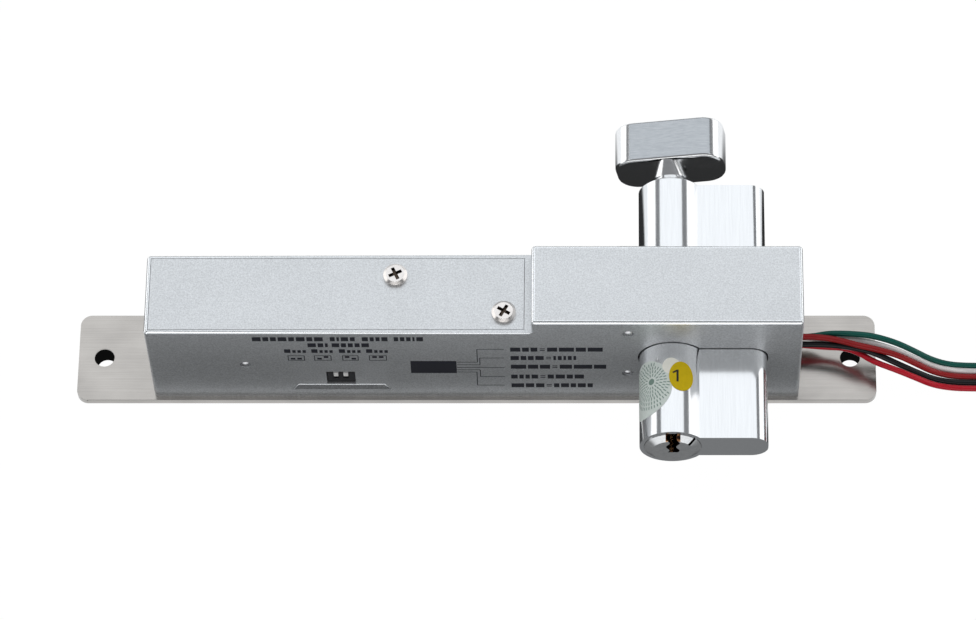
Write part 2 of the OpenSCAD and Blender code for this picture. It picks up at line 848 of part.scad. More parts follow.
module coil() {
  color([0.70, 0.33, 0.14])
  translate([0, 0, plunger_z])
    difference() {
      x_rod(coil_x0 + yoke_t + bobbin_t, coil_x1 - yoke_t - bobbin_t, coil_d / 2 - coil_below_flange);
      x_rod(-big, big, armature_d / 2 + bore_gap + bobbin_wall);
    }
}

module yoke() {
  bottom = plunger_z - coil_d / 2;
  color(STEEL)
  difference() {
    union() {
      span([coil_x0, -yoke_w / 2, yoke_top_z - yoke_t], [yoke_tab_x, yoke_w / 2, yoke_top_z]);
      span([coil_x0, -yoke_w / 2, bottom], [coil_x0 + yoke_t, yoke_w / 2, yoke_top_z]);
      span([coil_x1 - yoke_t, -yoke_w / 2, bottom], [coil_x1, yoke_w / 2, yoke_top_z]);
      for (at = lid_screw_at)
        translate([at.x, at.y, yoke_top_z - yoke_t]) cylinder(h = yoke_t, r = yoke_ear_r);
    }
    translate([0, 0, plunger_z]) {
      x_rod(coil_x0 - 1, coil_x0 + yoke_t + 1, rod_d / 2 + bore_gap);
      x_rod(coil_x1 - yoke_t - 1, coil_x1 + 1, armature_d / 2 + bore_gap);
    }
    for (at = lid_screw_at) translate([at.x, at.y, 0]) cylinder(h = big, r = lid_screw_d / 2);
  }
}

module main_board() {
  color(BOARD)
  difference() {
    span([board_x0, board_y, board_z0], [board_x1, board_y + board_t, board_z1]);
    translate([board_pin_at.x, 0, board_pin_at.y]) y_rod(-big, big, pin_d / 2);
  }
}

module relay() {
  color([0.12, 0.25, 0.55])
    translate([relay_at.x, board_back, relay_at.y]) cube(relay_size);
}

module capacitor() {
  color(DARK)
    translate([capacitor_at.x, 0, capacitor_at.y])
      y_rod(board_back, board_back + capacitor_l, capacitor_d / 2);
}

module chip() {
  color(DARK) translate([chip_at.x, board_back, chip_at.y]) cube(chip_size);
}

// A pin through the front wall, its round end just proud of it
module domed_pin(y1) {
  dome_y = pin_d / 2 - house_y - pin_proud;
  translate([0, dome_y, 0]) sphere(pin_d / 2);
  y_rod(dome_y, y1, pin_d / 2);
}

module board_pin() {
  color(STEEL) translate([board_pin_at.x, 0, board_pin_at.y])
    union() {
      domed_pin(board_back + pin_through);
      y_rod(-inner_y, board_y, pin_collar_d / 2);
    }
}

module dip_body() {
  color(DARK)
  difference() {
    span([dip_cx - dip_w / 2, dip_face_y, dip_cz - dip_h / 2],
      [dip_cx + dip_w / 2, board_y, dip_cz + dip_h / 2]);
    for (i = [0, 1])
      translate([dip_cx + (i - 0.5) * slider_pitch, dip_face_y, dip_cz + slot_up])
        cube([slider_w + dip_gap, 2 * slider_well, slider_slot + dip_gap], center = true);
  }
}

// A slider of the delay switch at its upper stop
module dip_slider(i) {
  color([0.85, 0.85, 0.82])
  translate([dip_cx + (i - 0.5) * slider_pitch, dip_face_y, dip_cz + slot_up + slider_travel / 2])
    span([-slider_w / 2, -slider_out, -slider_h / 2], [slider_w / 2, slider_in, slider_h / 2]);
}

module sensor_board() {
  color(BOARD)
  difference() {
    span([sensor_x - sensor_board_w / 2, -inner_y, sensor_pin_at[1].y - sensor_board_over],
      [sensor_x + sensor_board_w / 2, -inner_y + board_t, sensor_pin_at[0].y + sensor_board_over]);
    for (at = sensor_pin_at) translate([at.x, 0, at.y]) y_rod(-big, big, pin_d / 2);
  }
}

module sensor_pins() {
  color(STEEL)
  for (at = sensor_pin_at)
    translate([at.x, 0, at.y]) domed_pin(-inner_y + board_t + pin_through);
}

module sensor() {
  color(DARK) translate([sensor_x - sensor_size.x / 2, -inner_y + board_t, sensor_z]) cube(sensor_size);
}

module wire_loom() {
  color([0.45, 0.12, 0.10])
  for (i = [0:4]) {
    exit = [loom_end - loom_run, loom_ends[i].y, loom_ends[i].z];
    swept_wire([[loom_x0, loom_y, loom_z[i]], [loom_x1, loom_y, loom_z[i]], exit, exit + [loom_run, 0, 0]]);
  }
}

module grommet() {
  color(DARK) translate([0, outlet_y, outlet_z]) x_rod(loom_end, house_x, outlet_d / 2);
}

// A tube of wire_sides sides swept through the points of a route
function unit(v) = v / norm(v);
function along(route, i) =
  i == 0 ? [1, 0, 0] :
  i == len(route) - 1 ? unit(route[i] - route[i - 1]) : unit(route[i + 1] - route[i - 1]);
function ring_points(route, i, radius) =
  let (forward = along(route, i), side = unit(cross([0, 0, 1], forward)), up = cross(forward, side))
  [for (k = [0:wire_sides - 1])
    route[i] + radius * (cos(k * 360 / wire_sides) * side + sin(k * 360 / wire_sides) * up)];

module swept_wire(route) {
  rings = len(route);
  points = [for (i = [0:rings - 1]) each ring_points(route, i, wire_d / 2)];
  first = [for (k = [0:wire_sides - 1]) k];
  last = [for (k = [wire_sides - 1:-1:0]) (rings - 1) * wire_sides + k];
  sides = [for (i = [0:rings - 2], k = [0:wire_sides - 1])
    let (a = i * wire_sides + k, b = i * wire_sides + (k + 1) % wire_sides)
    [a, a + wire_sides, b + wire_sides, b]];
  polyhedron(points, concat([first], sides, [last]));
}

module wire_green() { color([0.05, 0.35, 0.22]) swept_wire(green_route); }
module wire_white() { color([0.92, 0.92, 0.90]) swept_wire(white_route); }
module wire_orange() { color([0.55, 0.10, 0.08]) swept_wire(orange_route); }
module wire_black() { color([0.05, 0.05, 0.05]) swept_wire(black_route); }
module wire_red() { color([0.75, 0.08, 0.06]) swept_wire(red_route); }

module wire_coil() {
  color([0.5, 0.1, 0.08])
  translate([ring_x, ring_y, 0])
    rotate_extrude() translate([ring_in, 0]) square([ring_out - ring_in, ring_h]);
}

module coil_tie() {
  color(DARK)
  translate([ring_x, ring_y, 0])
    difference() {
      span([ring_in - tie_t, -tie_w / 2, 0], [ring_out + tie_t, tie_w / 2, ring_h + tie_t]);
      translate([0, 0, -1]) rotate_extrude() translate([ring_in, 0]) square([ring_out - ring_in, ring_h + 1]);
    }
}

faceplate();
housing();
lid();
lid_screws();
plate_screws();
cylinder_body();
cylinder_screw();
key_plug();
key_pins();
driver_pins();
pin_springs();
plug_clip();
cam();
clutch();
thumb_shaft();
shaft_clip();
thumb_knob();
bolt();
drive_pin();
bolt_lifter();
lifter_screw();
bolt_bush();
crank();
crank_pin();
plunger();
plunger_pin();
tail_clip();
return_spring();
bobbin();
coil();
yoke();
main_board();
relay();
capacitor();
chip();
board_pin();
dip_body();
dip_slider(0);  // dip_slider_1
dip_slider(1);  // dip_slider_2
sensor_board();
sensor_pins();
sensor();
wire_loom();
grommet();
wire_green();
wire_white();
wire_orange();
wire_black();
wire_red();
wire_coil();
coil_tie();
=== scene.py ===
"""Looks of the electric bolt lock: camera, cords, light, surfaces, print and labels.

Everything is in metres in the lock's own frame: X along the faceplate, -Y the key side, +Z up.
"""
import math

import bmesh
import bpy
from mathutils import Matrix, Vector


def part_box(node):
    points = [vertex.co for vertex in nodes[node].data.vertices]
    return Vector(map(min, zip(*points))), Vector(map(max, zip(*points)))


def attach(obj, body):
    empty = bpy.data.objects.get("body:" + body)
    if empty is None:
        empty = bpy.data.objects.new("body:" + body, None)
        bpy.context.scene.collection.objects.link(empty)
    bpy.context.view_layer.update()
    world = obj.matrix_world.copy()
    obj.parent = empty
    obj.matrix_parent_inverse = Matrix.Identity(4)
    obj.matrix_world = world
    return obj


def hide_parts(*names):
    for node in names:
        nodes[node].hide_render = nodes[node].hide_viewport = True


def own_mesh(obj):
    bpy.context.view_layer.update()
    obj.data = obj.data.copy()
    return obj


MM = 0.001
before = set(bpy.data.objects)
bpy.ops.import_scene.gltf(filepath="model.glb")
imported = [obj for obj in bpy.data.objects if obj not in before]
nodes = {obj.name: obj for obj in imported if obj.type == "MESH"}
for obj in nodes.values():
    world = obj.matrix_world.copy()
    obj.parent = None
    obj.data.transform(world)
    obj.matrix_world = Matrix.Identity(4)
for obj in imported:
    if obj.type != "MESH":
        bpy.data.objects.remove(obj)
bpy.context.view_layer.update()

# Main forms, read from the frame
house_low, house_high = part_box("housing")
lid_low, lid_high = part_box("lid")
plate_low, plate_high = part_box("faceplate")
body_low, body_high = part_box("cylinder_body")
FRONT_Y = house_low.y
BARREL_R = 8.5 * MM
BARREL_X = 51 * MM
BARREL_Z = 24 * MM
PLUG_FACE_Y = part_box("key_plug")[0].y


# Camera: it looks from the key side, raised by 61.8 degrees
CAMERA_AT = (33.81 * MM, -567.69 * MM, 1099.95 * MM)
CAMERA_TILT = 28.174
CAMERA_LENS = 172.9
CAMERA_SHIFT = (-0.1204, -0.0211)


def add_camera():
    data = bpy.data.cameras.new("camera")
    data.lens = CAMERA_LENS
    data.sensor_width = 36.0
    data.shift_x, data.shift_y = CAMERA_SHIFT
    data.clip_start = 0.01
    data.clip_end = 20.0
    camera = bpy.data.objects.new("camera", data)
    camera.location = CAMERA_AT
    camera.rotation_euler = (math.radians(CAMERA_TILT), 0.0, 0.0)
    bpy.context.scene.collection.objects.link(camera)
    bpy.context.scene.camera = camera


# Small tools for materials
def new_material(name):
    material = bpy.data.materials.new(name)
    material.use_nodes = True
    tree = material.node_tree
    shader = tree.nodes["Principled BSDF"]
    return material, tree, shader


def add_node(tree, kind, **values):
    node = tree.nodes.new(kind)
    for key, value in values.items():
        if key in node.inputs:
            node.inputs[key].default_value = value
        else:
            setattr(node, key, value)
    return node


def object_position(tree, scale=(1.0, 1.0, 1.0)):
    """The point of the surface in the object's own frame, stretched by a scale."""
    place = add_node(tree, "ShaderNodeTexCoord")
    mapping = add_node(tree, "ShaderNodeMapping")
    mapping.inputs["Scale"].default_value = scale
    tree.links.new(place.outputs["Object"], mapping.inputs["Vector"])
    return mapping.outputs["Vector"]


def noise(tree, scale_xyz, detail=2.0, rough=0.5):
    texture = add_node(tree, "ShaderNodeTexNoise", Detail=detail, Roughness=rough, Scale=1.0)
    tree.links.new(object_position(tree, scale_xyz), texture.inputs["Vector"])
    return texture.outputs["Fac"]


def ramp(tree, value, stops):
    """A colour ramp from (position, colour) stops."""
    node = add_node(tree, "ShaderNodeValToRGB")
    elements = node.color_ramp.elements
    elements[0].position, elements[0].color = stops[0]
    elements[1].position, elements[1].color = stops[-1]
    for position, colour in stops[1:-1]:
        elements.new(position).color = colour
    tree.links.new(value, node.inputs["Fac"])
    return node.outputs["Color"]


def grey(value, tint=(1.0, 1.0, 1.0)):
    return (value * tint[0], value * tint[1], value * tint[2], 1.0)


def spread(tree, value, low, high):
    """Maps a 0 to 1 value onto a range."""
    node = add_node(tree, "ShaderNodeMapRange")
    node.inputs["To Min"].default_value = low
    node.inputs["To Max"].default_value = high
    tree.links.new(value, node.inputs["Value"])
    return node.outputs["Result"]


def bump(tree, shader, height, strength, distance):
    node = add_node(tree, "ShaderNodeBump", Strength=strength, Distance=distance)
    tree.links.new(height, node.inputs["Height"])
    tree.links.new(node.outputs["Normal"], shader.inputs["Normal"])
    return node


# Materials
def silver_paint(name, tint, light, rough_low=0.36, rough_high=0.52):
    """Metallic spray paint: fine flakes that sparkle over a slightly clouded coat."""
    material, tree, shader = new_material(name)
    flakes = noise(tree, (2600.0, 2600.0, 2600.0), detail=3.0, rough=0.7)
    clouds = noise(tree, (60.0, 60.0, 60.0), detail=2.0)
    mix = add_node(tree, "ShaderNodeMath", operation="MULTIPLY_ADD")
    tree.links.new(clouds, mix.inputs[0])
    mix.inputs[1].default_value = 0.12
    tree.links.new(flakes, mix.inputs[2])
    colour = ramp(tree, mix.outputs[0], [(0.36, grey(light * 0.80, tint)), (0.56, grey(light, tint)),
                                         (0.76, grey(min(1.0, light * 1.22), tint))])
    tree.links.new(colour, shader.inputs["Base Color"])
    shader.inputs["Metallic"].default_value = 0.9
    tree.links.new(spread(tree, flakes, rough_low, rough_high), shader.inputs["Roughness"])
    bump(tree, shader, flakes, 0.22, 0.00005)
    return material


PLATE_TINT = (1.0, 0.945, 0.885)


def brushed_plate(name):
    """Stainless strip with a fine brush along its length."""
    material, tree, shader = new_material(name)
    streaks = noise(tree, (40.0, 2600.0, 2600.0), detail=4.0, rough=0.65)
    blotches = noise(tree, (70.0, 110.0, 110.0), detail=2.0)
    mix = add_node(tree, "ShaderNodeMath", operation="MULTIPLY_ADD")
    tree.links.new(streaks, mix.inputs[0])
    mix.inputs[1].default_value = 0.55
    tree.links.new(blotches, mix.inputs[2])
    colour = ramp(tree, mix.outputs[0], [(0.45, grey(0.40, PLATE_TINT)),
                                         (1.0, grey(0.54, PLATE_TINT))])
    tree.links.new(colour, shader.inputs["Base Color"])
    shader.inputs["Metallic"].default_value = 1.0
    tree.links.new(spread(tree, streaks, 0.17, 0.28), shader.inputs["Roughness"])
    bump(tree, shader, streaks, 0.12, 0.00003)
    return material


def satin_metal(name, colour, rough_low, rough_high, grain=(2400.0, 90.0, 2400.0), depth=0.05, tone=0.06):
    """Plated or turned metal with a fine grain in one direction."""
    material, tree, shader = new_material(name)
    lines = noise(tree, grain, detail=3.0, rough=0.6)
    shades = ramp(tree, lines, [(0.3, grey(1.0 - tone, colour)), (0.7, grey(1.0, colour))])
    tree.links.new(shades, shader.inputs["Base Color"])
    shader.inputs["Metallic"].default_value = 1.0
    tree.links.new(spread(tree, lines, rough_low, rough_high), shader.inputs["Roughness"])
    bump(tree, shader, lines, depth, 0.00002)
    return material


def moulded(name, colour, roughness=0.45, grain=1800.0, depth=0.08):
    """Moulded plastic, rubber or board with a fine grain."""
    material, tree, shader = new_material(name)
    grains = noise(tree, (grain, grain, grain), detail=2.0)
    shades = ramp(tree, grains, [(0.3, grey(0.88, colour)), (0.7, grey(1.0, colour))])
    tree.links.new(shades, shader.inputs["Base Color"])
    tree.links.new(spread(tree, grains, roughness - 0.05, roughness + 0.07), shader.inputs["Roughness"])
    bump(tree, shader, grains, depth, 0.00003)
    return material


# Keyway and rim notch of the plug; the plug's material paints shade in both
KEYWAY_MIDDLE = 3.4 * MM
KEYWAY_HALF = 4.3 * MM
NOTCH_TURN = math.radians(41.0)
NOTCH_HALF = 0.42 * MM
NOTCH_FROM = 5.25 * MM


def key_plug_metal(name):
    """Bright turned nickel; inside the keyway, patches of brass in painted shade, and painted shade in the notch
    of the rim.
    """
    material, tree, shader = new_material(name)
    place = add_node(tree, "ShaderNodeTexCoord")
    parts = add_node(tree, "ShaderNodeSeparateXYZ")
    tree.links.new(place.outputs["Object"], parts.inputs["Vector"])

    def inside(axis, centre, half):
        gap = add_node(tree, "ShaderNodeMath", operation="SUBTRACT")
        tree.links.new(parts.outputs[axis], gap.inputs[0])
        gap.inputs[1].default_value = centre
        size = add_node(tree, "ShaderNodeMath", operation="ABSOLUTE")
        tree.links.new(gap.outputs[0], size.inputs[0])
        less = add_node(tree, "ShaderNodeMath", operation="LESS_THAN")
        tree.links.new(size.outputs[0], less.inputs[0])
        less.inputs[1].default_value = half
        return less.outputs[0]

    across = inside("X", BARREL_X, 1.9 * MM)
    upright = inside("Z", BARREL_Z + KEYWAY_MIDDLE, KEYWAY_HALF)
    deep = add_node(tree, "ShaderNodeMath", operation="GREATER_THAN")
    tree.links.new(parts.outputs["Y"], deep.inputs[0])
    deep.inputs[1].default_value = PLUG_FACE_Y + 0.02 * MM
    both = add_node(tree, "ShaderNodeMath", operation="MULTIPLY")
    tree.links.new(across, both.inputs[0])
    tree.links.new(upright, both.inputs[1])
    mask = add_node(tree, "ShaderNodeMath", operation="MULTIPLY")
    tree.links.new(both.outputs[0], mask.inputs[0])
    tree.links.new(deep.outputs[0], mask.inputs[1])

    def along(share_x, share_z, compare, limit):
        """Whether a slanted distance from the barrel's axis is under or over a limit."""
        offset = add_node(tree, "ShaderNodeVectorMath", operation="SUBTRACT")
        tree.links.new(place.outputs["Object"], offset.inputs[0])
        offset.inputs[1].default_value = (BARREL_X, 0.0, BARREL_Z)
        dot = add_node(tree, "ShaderNodeVectorMath", operation="DOT_PRODUCT")
        tree.links.new(offset.outputs[0], dot.inputs[0])
        dot.inputs[1].default_value = (share_x, 0.0, share_z)
        size = add_node(tree, "ShaderNodeMath", operation="ABSOLUTE")
        tree.links.new(dot.outputs["Value"], size.inputs[0])
        test = add_node(tree, "ShaderNodeMath", operation=compare)
        tree.links.new(size.outputs[0], test.inputs[0])
        test.inputs[1].default_value = limit
        return test.outputs[0]

    # Painted shade in the notch of the rim, on the rim's upper half
    notch = add_node(tree, "ShaderNodeMath", operation="MULTIPLY")
    tree.links.new(along(-math.sin(NOTCH_TURN), math.cos(NOTCH_TURN), "LESS_THAN", NOTCH_HALF), notch.inputs[0])
    tree.links.new(along(math.cos(NOTCH_TURN), math.sin(NOTCH_TURN), "GREATER_THAN", NOTCH_FROM), notch.inputs[1])
    upper = add_node(tree, "ShaderNodeMath", operation="GREATER_THAN")
    tree.links.new(parts.outputs["Z"], upper.inputs[0])
    upper.inputs[1].default_value = BARREL_Z
    notch_shade = add_node(tree, "ShaderNodeMath", operation="MULTIPLY")
    tree.links.new(notch.outputs[0], notch_shade.inputs[0])
    tree.links.new(upper.outputs[0], notch_shade.inputs[1])
    turned = noise(tree, (900.0, 2000.0, 900.0), detail=2.0)
    nickel = ramp(tree, turned, [(0.3, grey(0.76)), (0.7, grey(0.84))])
    # Painted shade in the keyway: near-black and dark brown, broken by patches of brass colour
    keyway_brass_and_shade = noise(tree, (420.0, 420.0, 900.0), detail=1.0)
    brass = ramp(tree, keyway_brass_and_shade, [(0.42, (0.014, 0.008, 0.006, 1.0)), (0.52, (0.10, 0.04, 0.02, 1.0)),
                                (0.62, (0.60, 0.34, 0.16, 1.0))])
    mix = add_node(tree, "ShaderNodeMix", data_type="RGBA")
    tree.links.new(mask.outputs[0], mix.inputs["Factor"])
    tree.links.new(nickel, mix.inputs[6])
    tree.links.new(brass, mix.inputs[7])
    paint_notch_shade = add_node(tree, "ShaderNodeMix", data_type="RGBA")
    tree.links.new(notch_shade.outputs[0], paint_notch_shade.inputs["Factor"])
    tree.links.new(mix.outputs[2], paint_notch_shade.inputs[6])
    paint_notch_shade.inputs[7].default_value = grey(0.02)
    tree.links.new(paint_notch_shade.outputs[2], shader.inputs["Base Color"])
    shader.inputs["Metallic"].default_value = 1.0
    tree.links.new(spread(tree, turned, 0.16, 0.26), shader.inputs["Roughness"])
    return material


LID_SCREWS = ((-20.3, 5.2), (7.7, -5.6))
CROSS_REACH = 1.95 * MM
CROSS_TOP = lid_high.z + 1.45 * MM


def screw_metal(name, colour):
    """Plated screw heads whose cross recesses carry painted shade."""
    material, tree, shader = new_material(name)
    place = add_node(tree, "ShaderNodeTexCoord")
    parts = add_node(tree, "ShaderNodeSeparateXYZ")
    tree.links.new(place.outputs["Object"], parts.inputs["Vector"])
    level = add_node(tree, "ShaderNodeCombineXYZ")
    tree.links.new(parts.outputs["X"], level.inputs["X"])
    tree.links.new(parts.outputs["Y"], level.inputs["Y"])
    reach = None
    for x, y in LID_SCREWS:
        gap = add_node(tree, "ShaderNodeVectorMath", operation="DISTANCE")
        tree.links.new(level.outputs[0], gap.inputs[0])
        gap.inputs[1].default_value = (x * MM, y * MM, 0.0)
        near = add_node(tree, "ShaderNodeMath", operation="LESS_THAN")
        tree.links.new(gap.outputs["Value"], near.inputs[0])
        near.inputs[1].default_value = CROSS_REACH
        if reach is None:
            reach = near.outputs[0]
        else:
            both = add_node(tree, "ShaderNodeMath", operation="MAXIMUM")
            tree.links.new(reach, both.inputs[0])
            tree.links.new(near.outputs[0], both.inputs[1])
            reach = both.outputs[0]
    below = add_node(tree, "ShaderNodeMath", operation="LESS_THAN")
    tree.links.new(parts.outputs["Z"], below.inputs[0])
    below.inputs[1].default_value = CROSS_TOP
    # Painted shade in the cross recesses: near each lid screw's middle and below the head's top
    recess_shade = add_node(tree, "ShaderNodeMath", operation="MULTIPLY")
    tree.links.new(reach, recess_shade.inputs[0])
    tree.links.new(below.outputs[0], recess_shade.inputs[1])
    grain = noise(tree, (900.0, 900.0, 900.0), detail=3.0)
    plated = ramp(tree, grain, [(0.3, grey(0.9, colour)), (0.7, grey(1.0, colour))])
    mix = add_node(tree, "ShaderNodeMix", data_type="RGBA")
    tree.links.new(recess_shade.outputs[0], mix.inputs["Factor"])
    tree.links.new(plated, mix.inputs[6])
    mix.inputs[7].default_value = (0.06, 0.045, 0.035, 1.0)
    tree.links.new(mix.outputs[2], shader.inputs["Base Color"])
    shader.inputs["Metallic"].default_value = 1.0
    tree.links.new(spread(tree, grain, 0.18, 0.28), shader.inputs["Roughness"])
    return material


def paper(name, colour, roughness=0.55):
    material, tree, shader = new_material(name)
    fibres = noise(tree, (900.0, 900.0, 900.0), detail=3.0)
    shades = ramp(tree, fibres, [(0.3, grey(0.93, colour)), (0.7, grey(1.0, colour))])
    tree.links.new(shades, shader.inputs["Base Color"])
    shader.inputs["Roughness"].default_value = roughness
    shader.inputs["Specular IOR Level"].default_value = 0.2
    return material


def dress(node, material):
    """Puts one material on a frame node."""
    slots = nodes[node].material_slots
    if not slots:
        nodes[node].data.materials.append(material)
    for slot in slots:
        slot.material = material


def soften(node, width, segments=2, angle=35.0):
    """Small rounded edges on a frame node."""
    piece = nodes[node]
    weld = piece.modifiers.new("weld", "WELD")
    weld.merge_threshold = 1e-6
    flat = piece.modifiers.new("flat", "DECIMATE")
    flat.decimate_type = "DISSOLVE"
    flat.angle_limit = math.radians(0.5)
    bevel = piece.modifiers.new("bevel", "BEVEL")
    bevel.width = width
    bevel.segments = segments
    bevel.limit_method = "ANGLE"
    bevel.angle_limit = math.radians(angle)
    bevel.harden_normals = True
    weigh = piece.modifiers.new("weigh", "WEIGHTED_NORMAL")
    weigh.keep_sharp = True


# Cords: one lead of each colour, from the grommet to the ring where their spare length is put away
WIRE_D = 1.6 * MM
WIRE_LENGTH = 0.200
RING_AT = Vector((150.0, 8.0, 0.0)) * MM
RING_RISE = 1.68 * MM
ROUTES = {
    "wire_green": [(84.5, 2.8, 8.4), (88, 2.8, 8.6), (92, 3, 9.8), (96, 2.5, 10.9), (100, 1.9, 11.6),
                   (104, 1.4, 11.6), (110, 0.3, 10), (115, -0.6, 6.8), (119.5, -1.3, 3.4), (124, -1.7, 1.4),
                   (129, -1.8, 0.8), (137, -1.8, 0.8)],
    "wire_white": [(84.5, 3.6, 6.7), (88, 3.5, 6.7), (92, 1.8, 7.7), (96, 1.9, 9), (100, 1.1, 9.8),
                   (104, 0, 10.2), (110, -1.6, 9.4), (115, -2.6, 6.5), (119.5, -3.2, 3.3), (124, -3.4, 1.4),
                   (129, -3.5, 0.8), (138, -3.5, 0.8)],
    "wire_orange": [(84.5, 1.9, 10.2), (88, 1.8, 10.4), (92, 1.2, 10.8), (96, 0.1, 11.2), (100, -1.5, 11.8),
                    (104, -2.3, 11.6), (110, -3.7, 10.8), (115, -4.6, 7.6), (119.5, -5, 3.8), (124, -5.2, 1.6),
                    (129, -5.2, 0.8), (139, -5.2, 0.8)],
    "wire_black": [(84.5, 0.6, 8.4), (88, 0.5, 8.6), (92, 0.2, 9), (96, -0.4, 9.4), (100, -1.5, 10),
                   (104, -2.5, 9.8), (110, -5.4, 9.2), (115, -6.3, 6.2), (119.5, -6.8, 3.2), (124, -6.9, 1.4),
                   (129, -6.9, 0.8), (142, -6.9, 0.8)],
    "wire_red": [(84.5, 1.4, 6.7), (88, 1.3, 6.2), (92, 1.1, 5.9), (96, 0.5, 6.8), (100, -1.2, 7.6),
                 (104, -4.6, 8.6), (110, -7.4, 9.2), (115, -8.3, 6.6), (119.5, -8.6, 3.2), (124, -8.6, 1.4),
                 (129, -8.6, 0.8), (145, -8.6, 0.8)],
}
TURN_STEPS = 24
RISE_FROM = 0.12
RISE_TO = 0.55


def layer_height(turns):
    """How many layers the wire has climbed: each turn climbs once, on its early part."""
    whole = math.floor(turns)
    part = (turns - whole - RISE_FROM) / (RISE_TO - RISE_FROM)
    part = min(1.0, max(0.0, part))
    return whole + part * part * (3.0 - 2.0 * part)


def wire_path(route):
    """The route in metres, a straight run to the ring and then the turns that use up the length."""
    points = [Vector(p) * MM for p in route]
    last = points[-1]
    radius = RING_AT.y - last.y
    points.append(Vector((RING_AT.x, last.y, last.z)))
    used = sum((b - a).length for a, b in zip(points, points[1:]))
    turns = (WIRE_LENGTH - used) / (2.0 * math.pi * radius)
    steps = math.ceil(turns * TURN_STEPS)
    for i in range(1, steps + 1):
        t = turns * i / steps
        angle = 2.0 * math.pi * t - math.pi / 2.0
        height = last.z + RING_RISE * layer_height(t)
        points.append(Vector((RING_AT.x + radius * math.cos(angle), RING_AT.y + radius * math.sin(angle), height)))
    return points


def rounded(points, rounds=2):
    """Cuts the corners of a path so that it bends smoothly; its ends stay."""
    for _ in range(rounds):
        cut = [points[0]]
        for a, b in zip(points, points[1:]):
            cut += [a.lerp(b, 0.25), a.lerp(b, 0.75)]
        points = cut + [points[-1]]
    return points


def tube_piece(name, points, radius, material, sides=12):
    """A closed tube along a path, made as a mesh with a frame carried along it."""
    mesh = bmesh.new()
    rings = []
    normal = Vector((0.0, 0.0, 1.0))
    for i, point in enumerate(points):
        ahead = points[min(i + 1, len(points) - 1)] - points[max(i - 1, 0)]
        ahead.normalize()
        normal = normal - ahead * normal.dot(ahead)
        normal.normalize()
        side = ahead.cross(normal)
        ring = []
        for k in range(sides):
            turn = 2.0 * math.pi * k / sides
            ring.append(mesh.verts.new(point + radius * (math.cos(turn) * side + math.sin(turn) * normal)))
        rings.append(ring)
    for a, b in zip(rings, rings[1:]):
        for k in range(sides):
            n = (k + 1) % sides
            mesh.faces.new((a[k], a[n], b[n], b[k])).smooth = True
    mesh.faces.new(list(reversed(rings[0])))
    mesh.faces.new(rings[-1])
    bmesh.ops.recalc_face_normals(mesh, faces=mesh.faces)
    return finish_piece(name, mesh, material)


def finish_piece(name, mesh, material):
    """Turns a bmesh into an object in the scene."""
    data = bpy.data.meshes.new(name)
    mesh.to_mesh(data)
    mesh.free()
    data.materials.append(material)
    piece = bpy.data.objects.new(name, data)
    bpy.context.scene.collection.objects.link(piece)
    return piece


def wire_plastic(name, colour):
    material, tree, shader = new_material(name)
    streaks = noise(tree, (300.0, 900.0, 900.0), detail=2.0)
    shades = ramp(tree, streaks, [(0.3, grey(0.85, colour)), (0.7, grey(1.0, colour))])
    tree.links.new(shades, shader.inputs["Base Color"])
    tree.links.new(spread(tree, streaks, 0.26, 0.38), shader.inputs["Roughness"])
    shader.inputs["Specular IOR Level"].default_value = 0.25
    bump(tree, shader, streaks, 0.05, 0.00003)
    return material


WIRE_COLOURS = {
    "wire_green": (0.002, 0.105, 0.080),
    "wire_white": (0.86, 0.82, 0.80),
    "wire_orange": (0.34, 0.012, 0.014),
    "wire_black": (0.010, 0.010, 0.012),
    "wire_red": (0.58, 0.010, 0.026),
}
TIP_LENGTH = 6 * MM
TIP_R = 0.5 * MM


def add_wires():
    tin = satin_metal("tinned_copper", (0.75, 0.72, 0.68), 0.25, 0.4)
    for name, route in ROUTES.items():
        path = wire_path(route)
        smooth = rounded(path)
        lead = tube_piece(name + "_lead", smooth, WIRE_D / 2.0, wire_plastic(name + "_skin", WIRE_COLOURS[name]))
        heading = (smooth[-1] - smooth[-2]).normalized()
        tip = tube_piece(name + "_tip", [smooth[-1], smooth[-1] + heading * TIP_LENGTH], TIP_R, tin)
        hidden = [name, "wire_coil"] if name == "wire_red" else [name]
        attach(lead, "lock")
        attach(tip, "lock")
        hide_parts(*hidden)


# Housing: the frame's own solid, with the outer edges of its two tops rounded as cast; the rounded faces wear a
# lighter, glossier copy of the paint, a painted highlight
EDGE_ROUND = 0.9 * MM
EDGE_NEAR = 0.35 * MM
EDGE_ANGLE = math.radians(60.0)
SHARP_ANGLE = math.radians(35.0)
STEP_X = 14.8 * MM


def on_outline(point, start_x):
    """Whether a point lies on the outer outline of a block that starts at start_x."""
    gaps = (point.x - start_x, house_high.x - point.x, point.y - house_low.y, house_high.y - point.y)
    return min(gaps) < EDGE_NEAR


def is_top_edge(edge):
    if len(edge.link_faces) != 2 or not edge.is_convex or edge.calc_face_angle() < EDGE_ANGLE:
        return False
    ends = [vert.co for vert in edge.verts]
    for top, start_x in ((lid_high.z, house_low.x), (house_high.z, STEP_X)):
        if all(abs(end.z - top) < 0.01 * MM and on_outline(end, start_x) for end in ends):
            return True
    return False


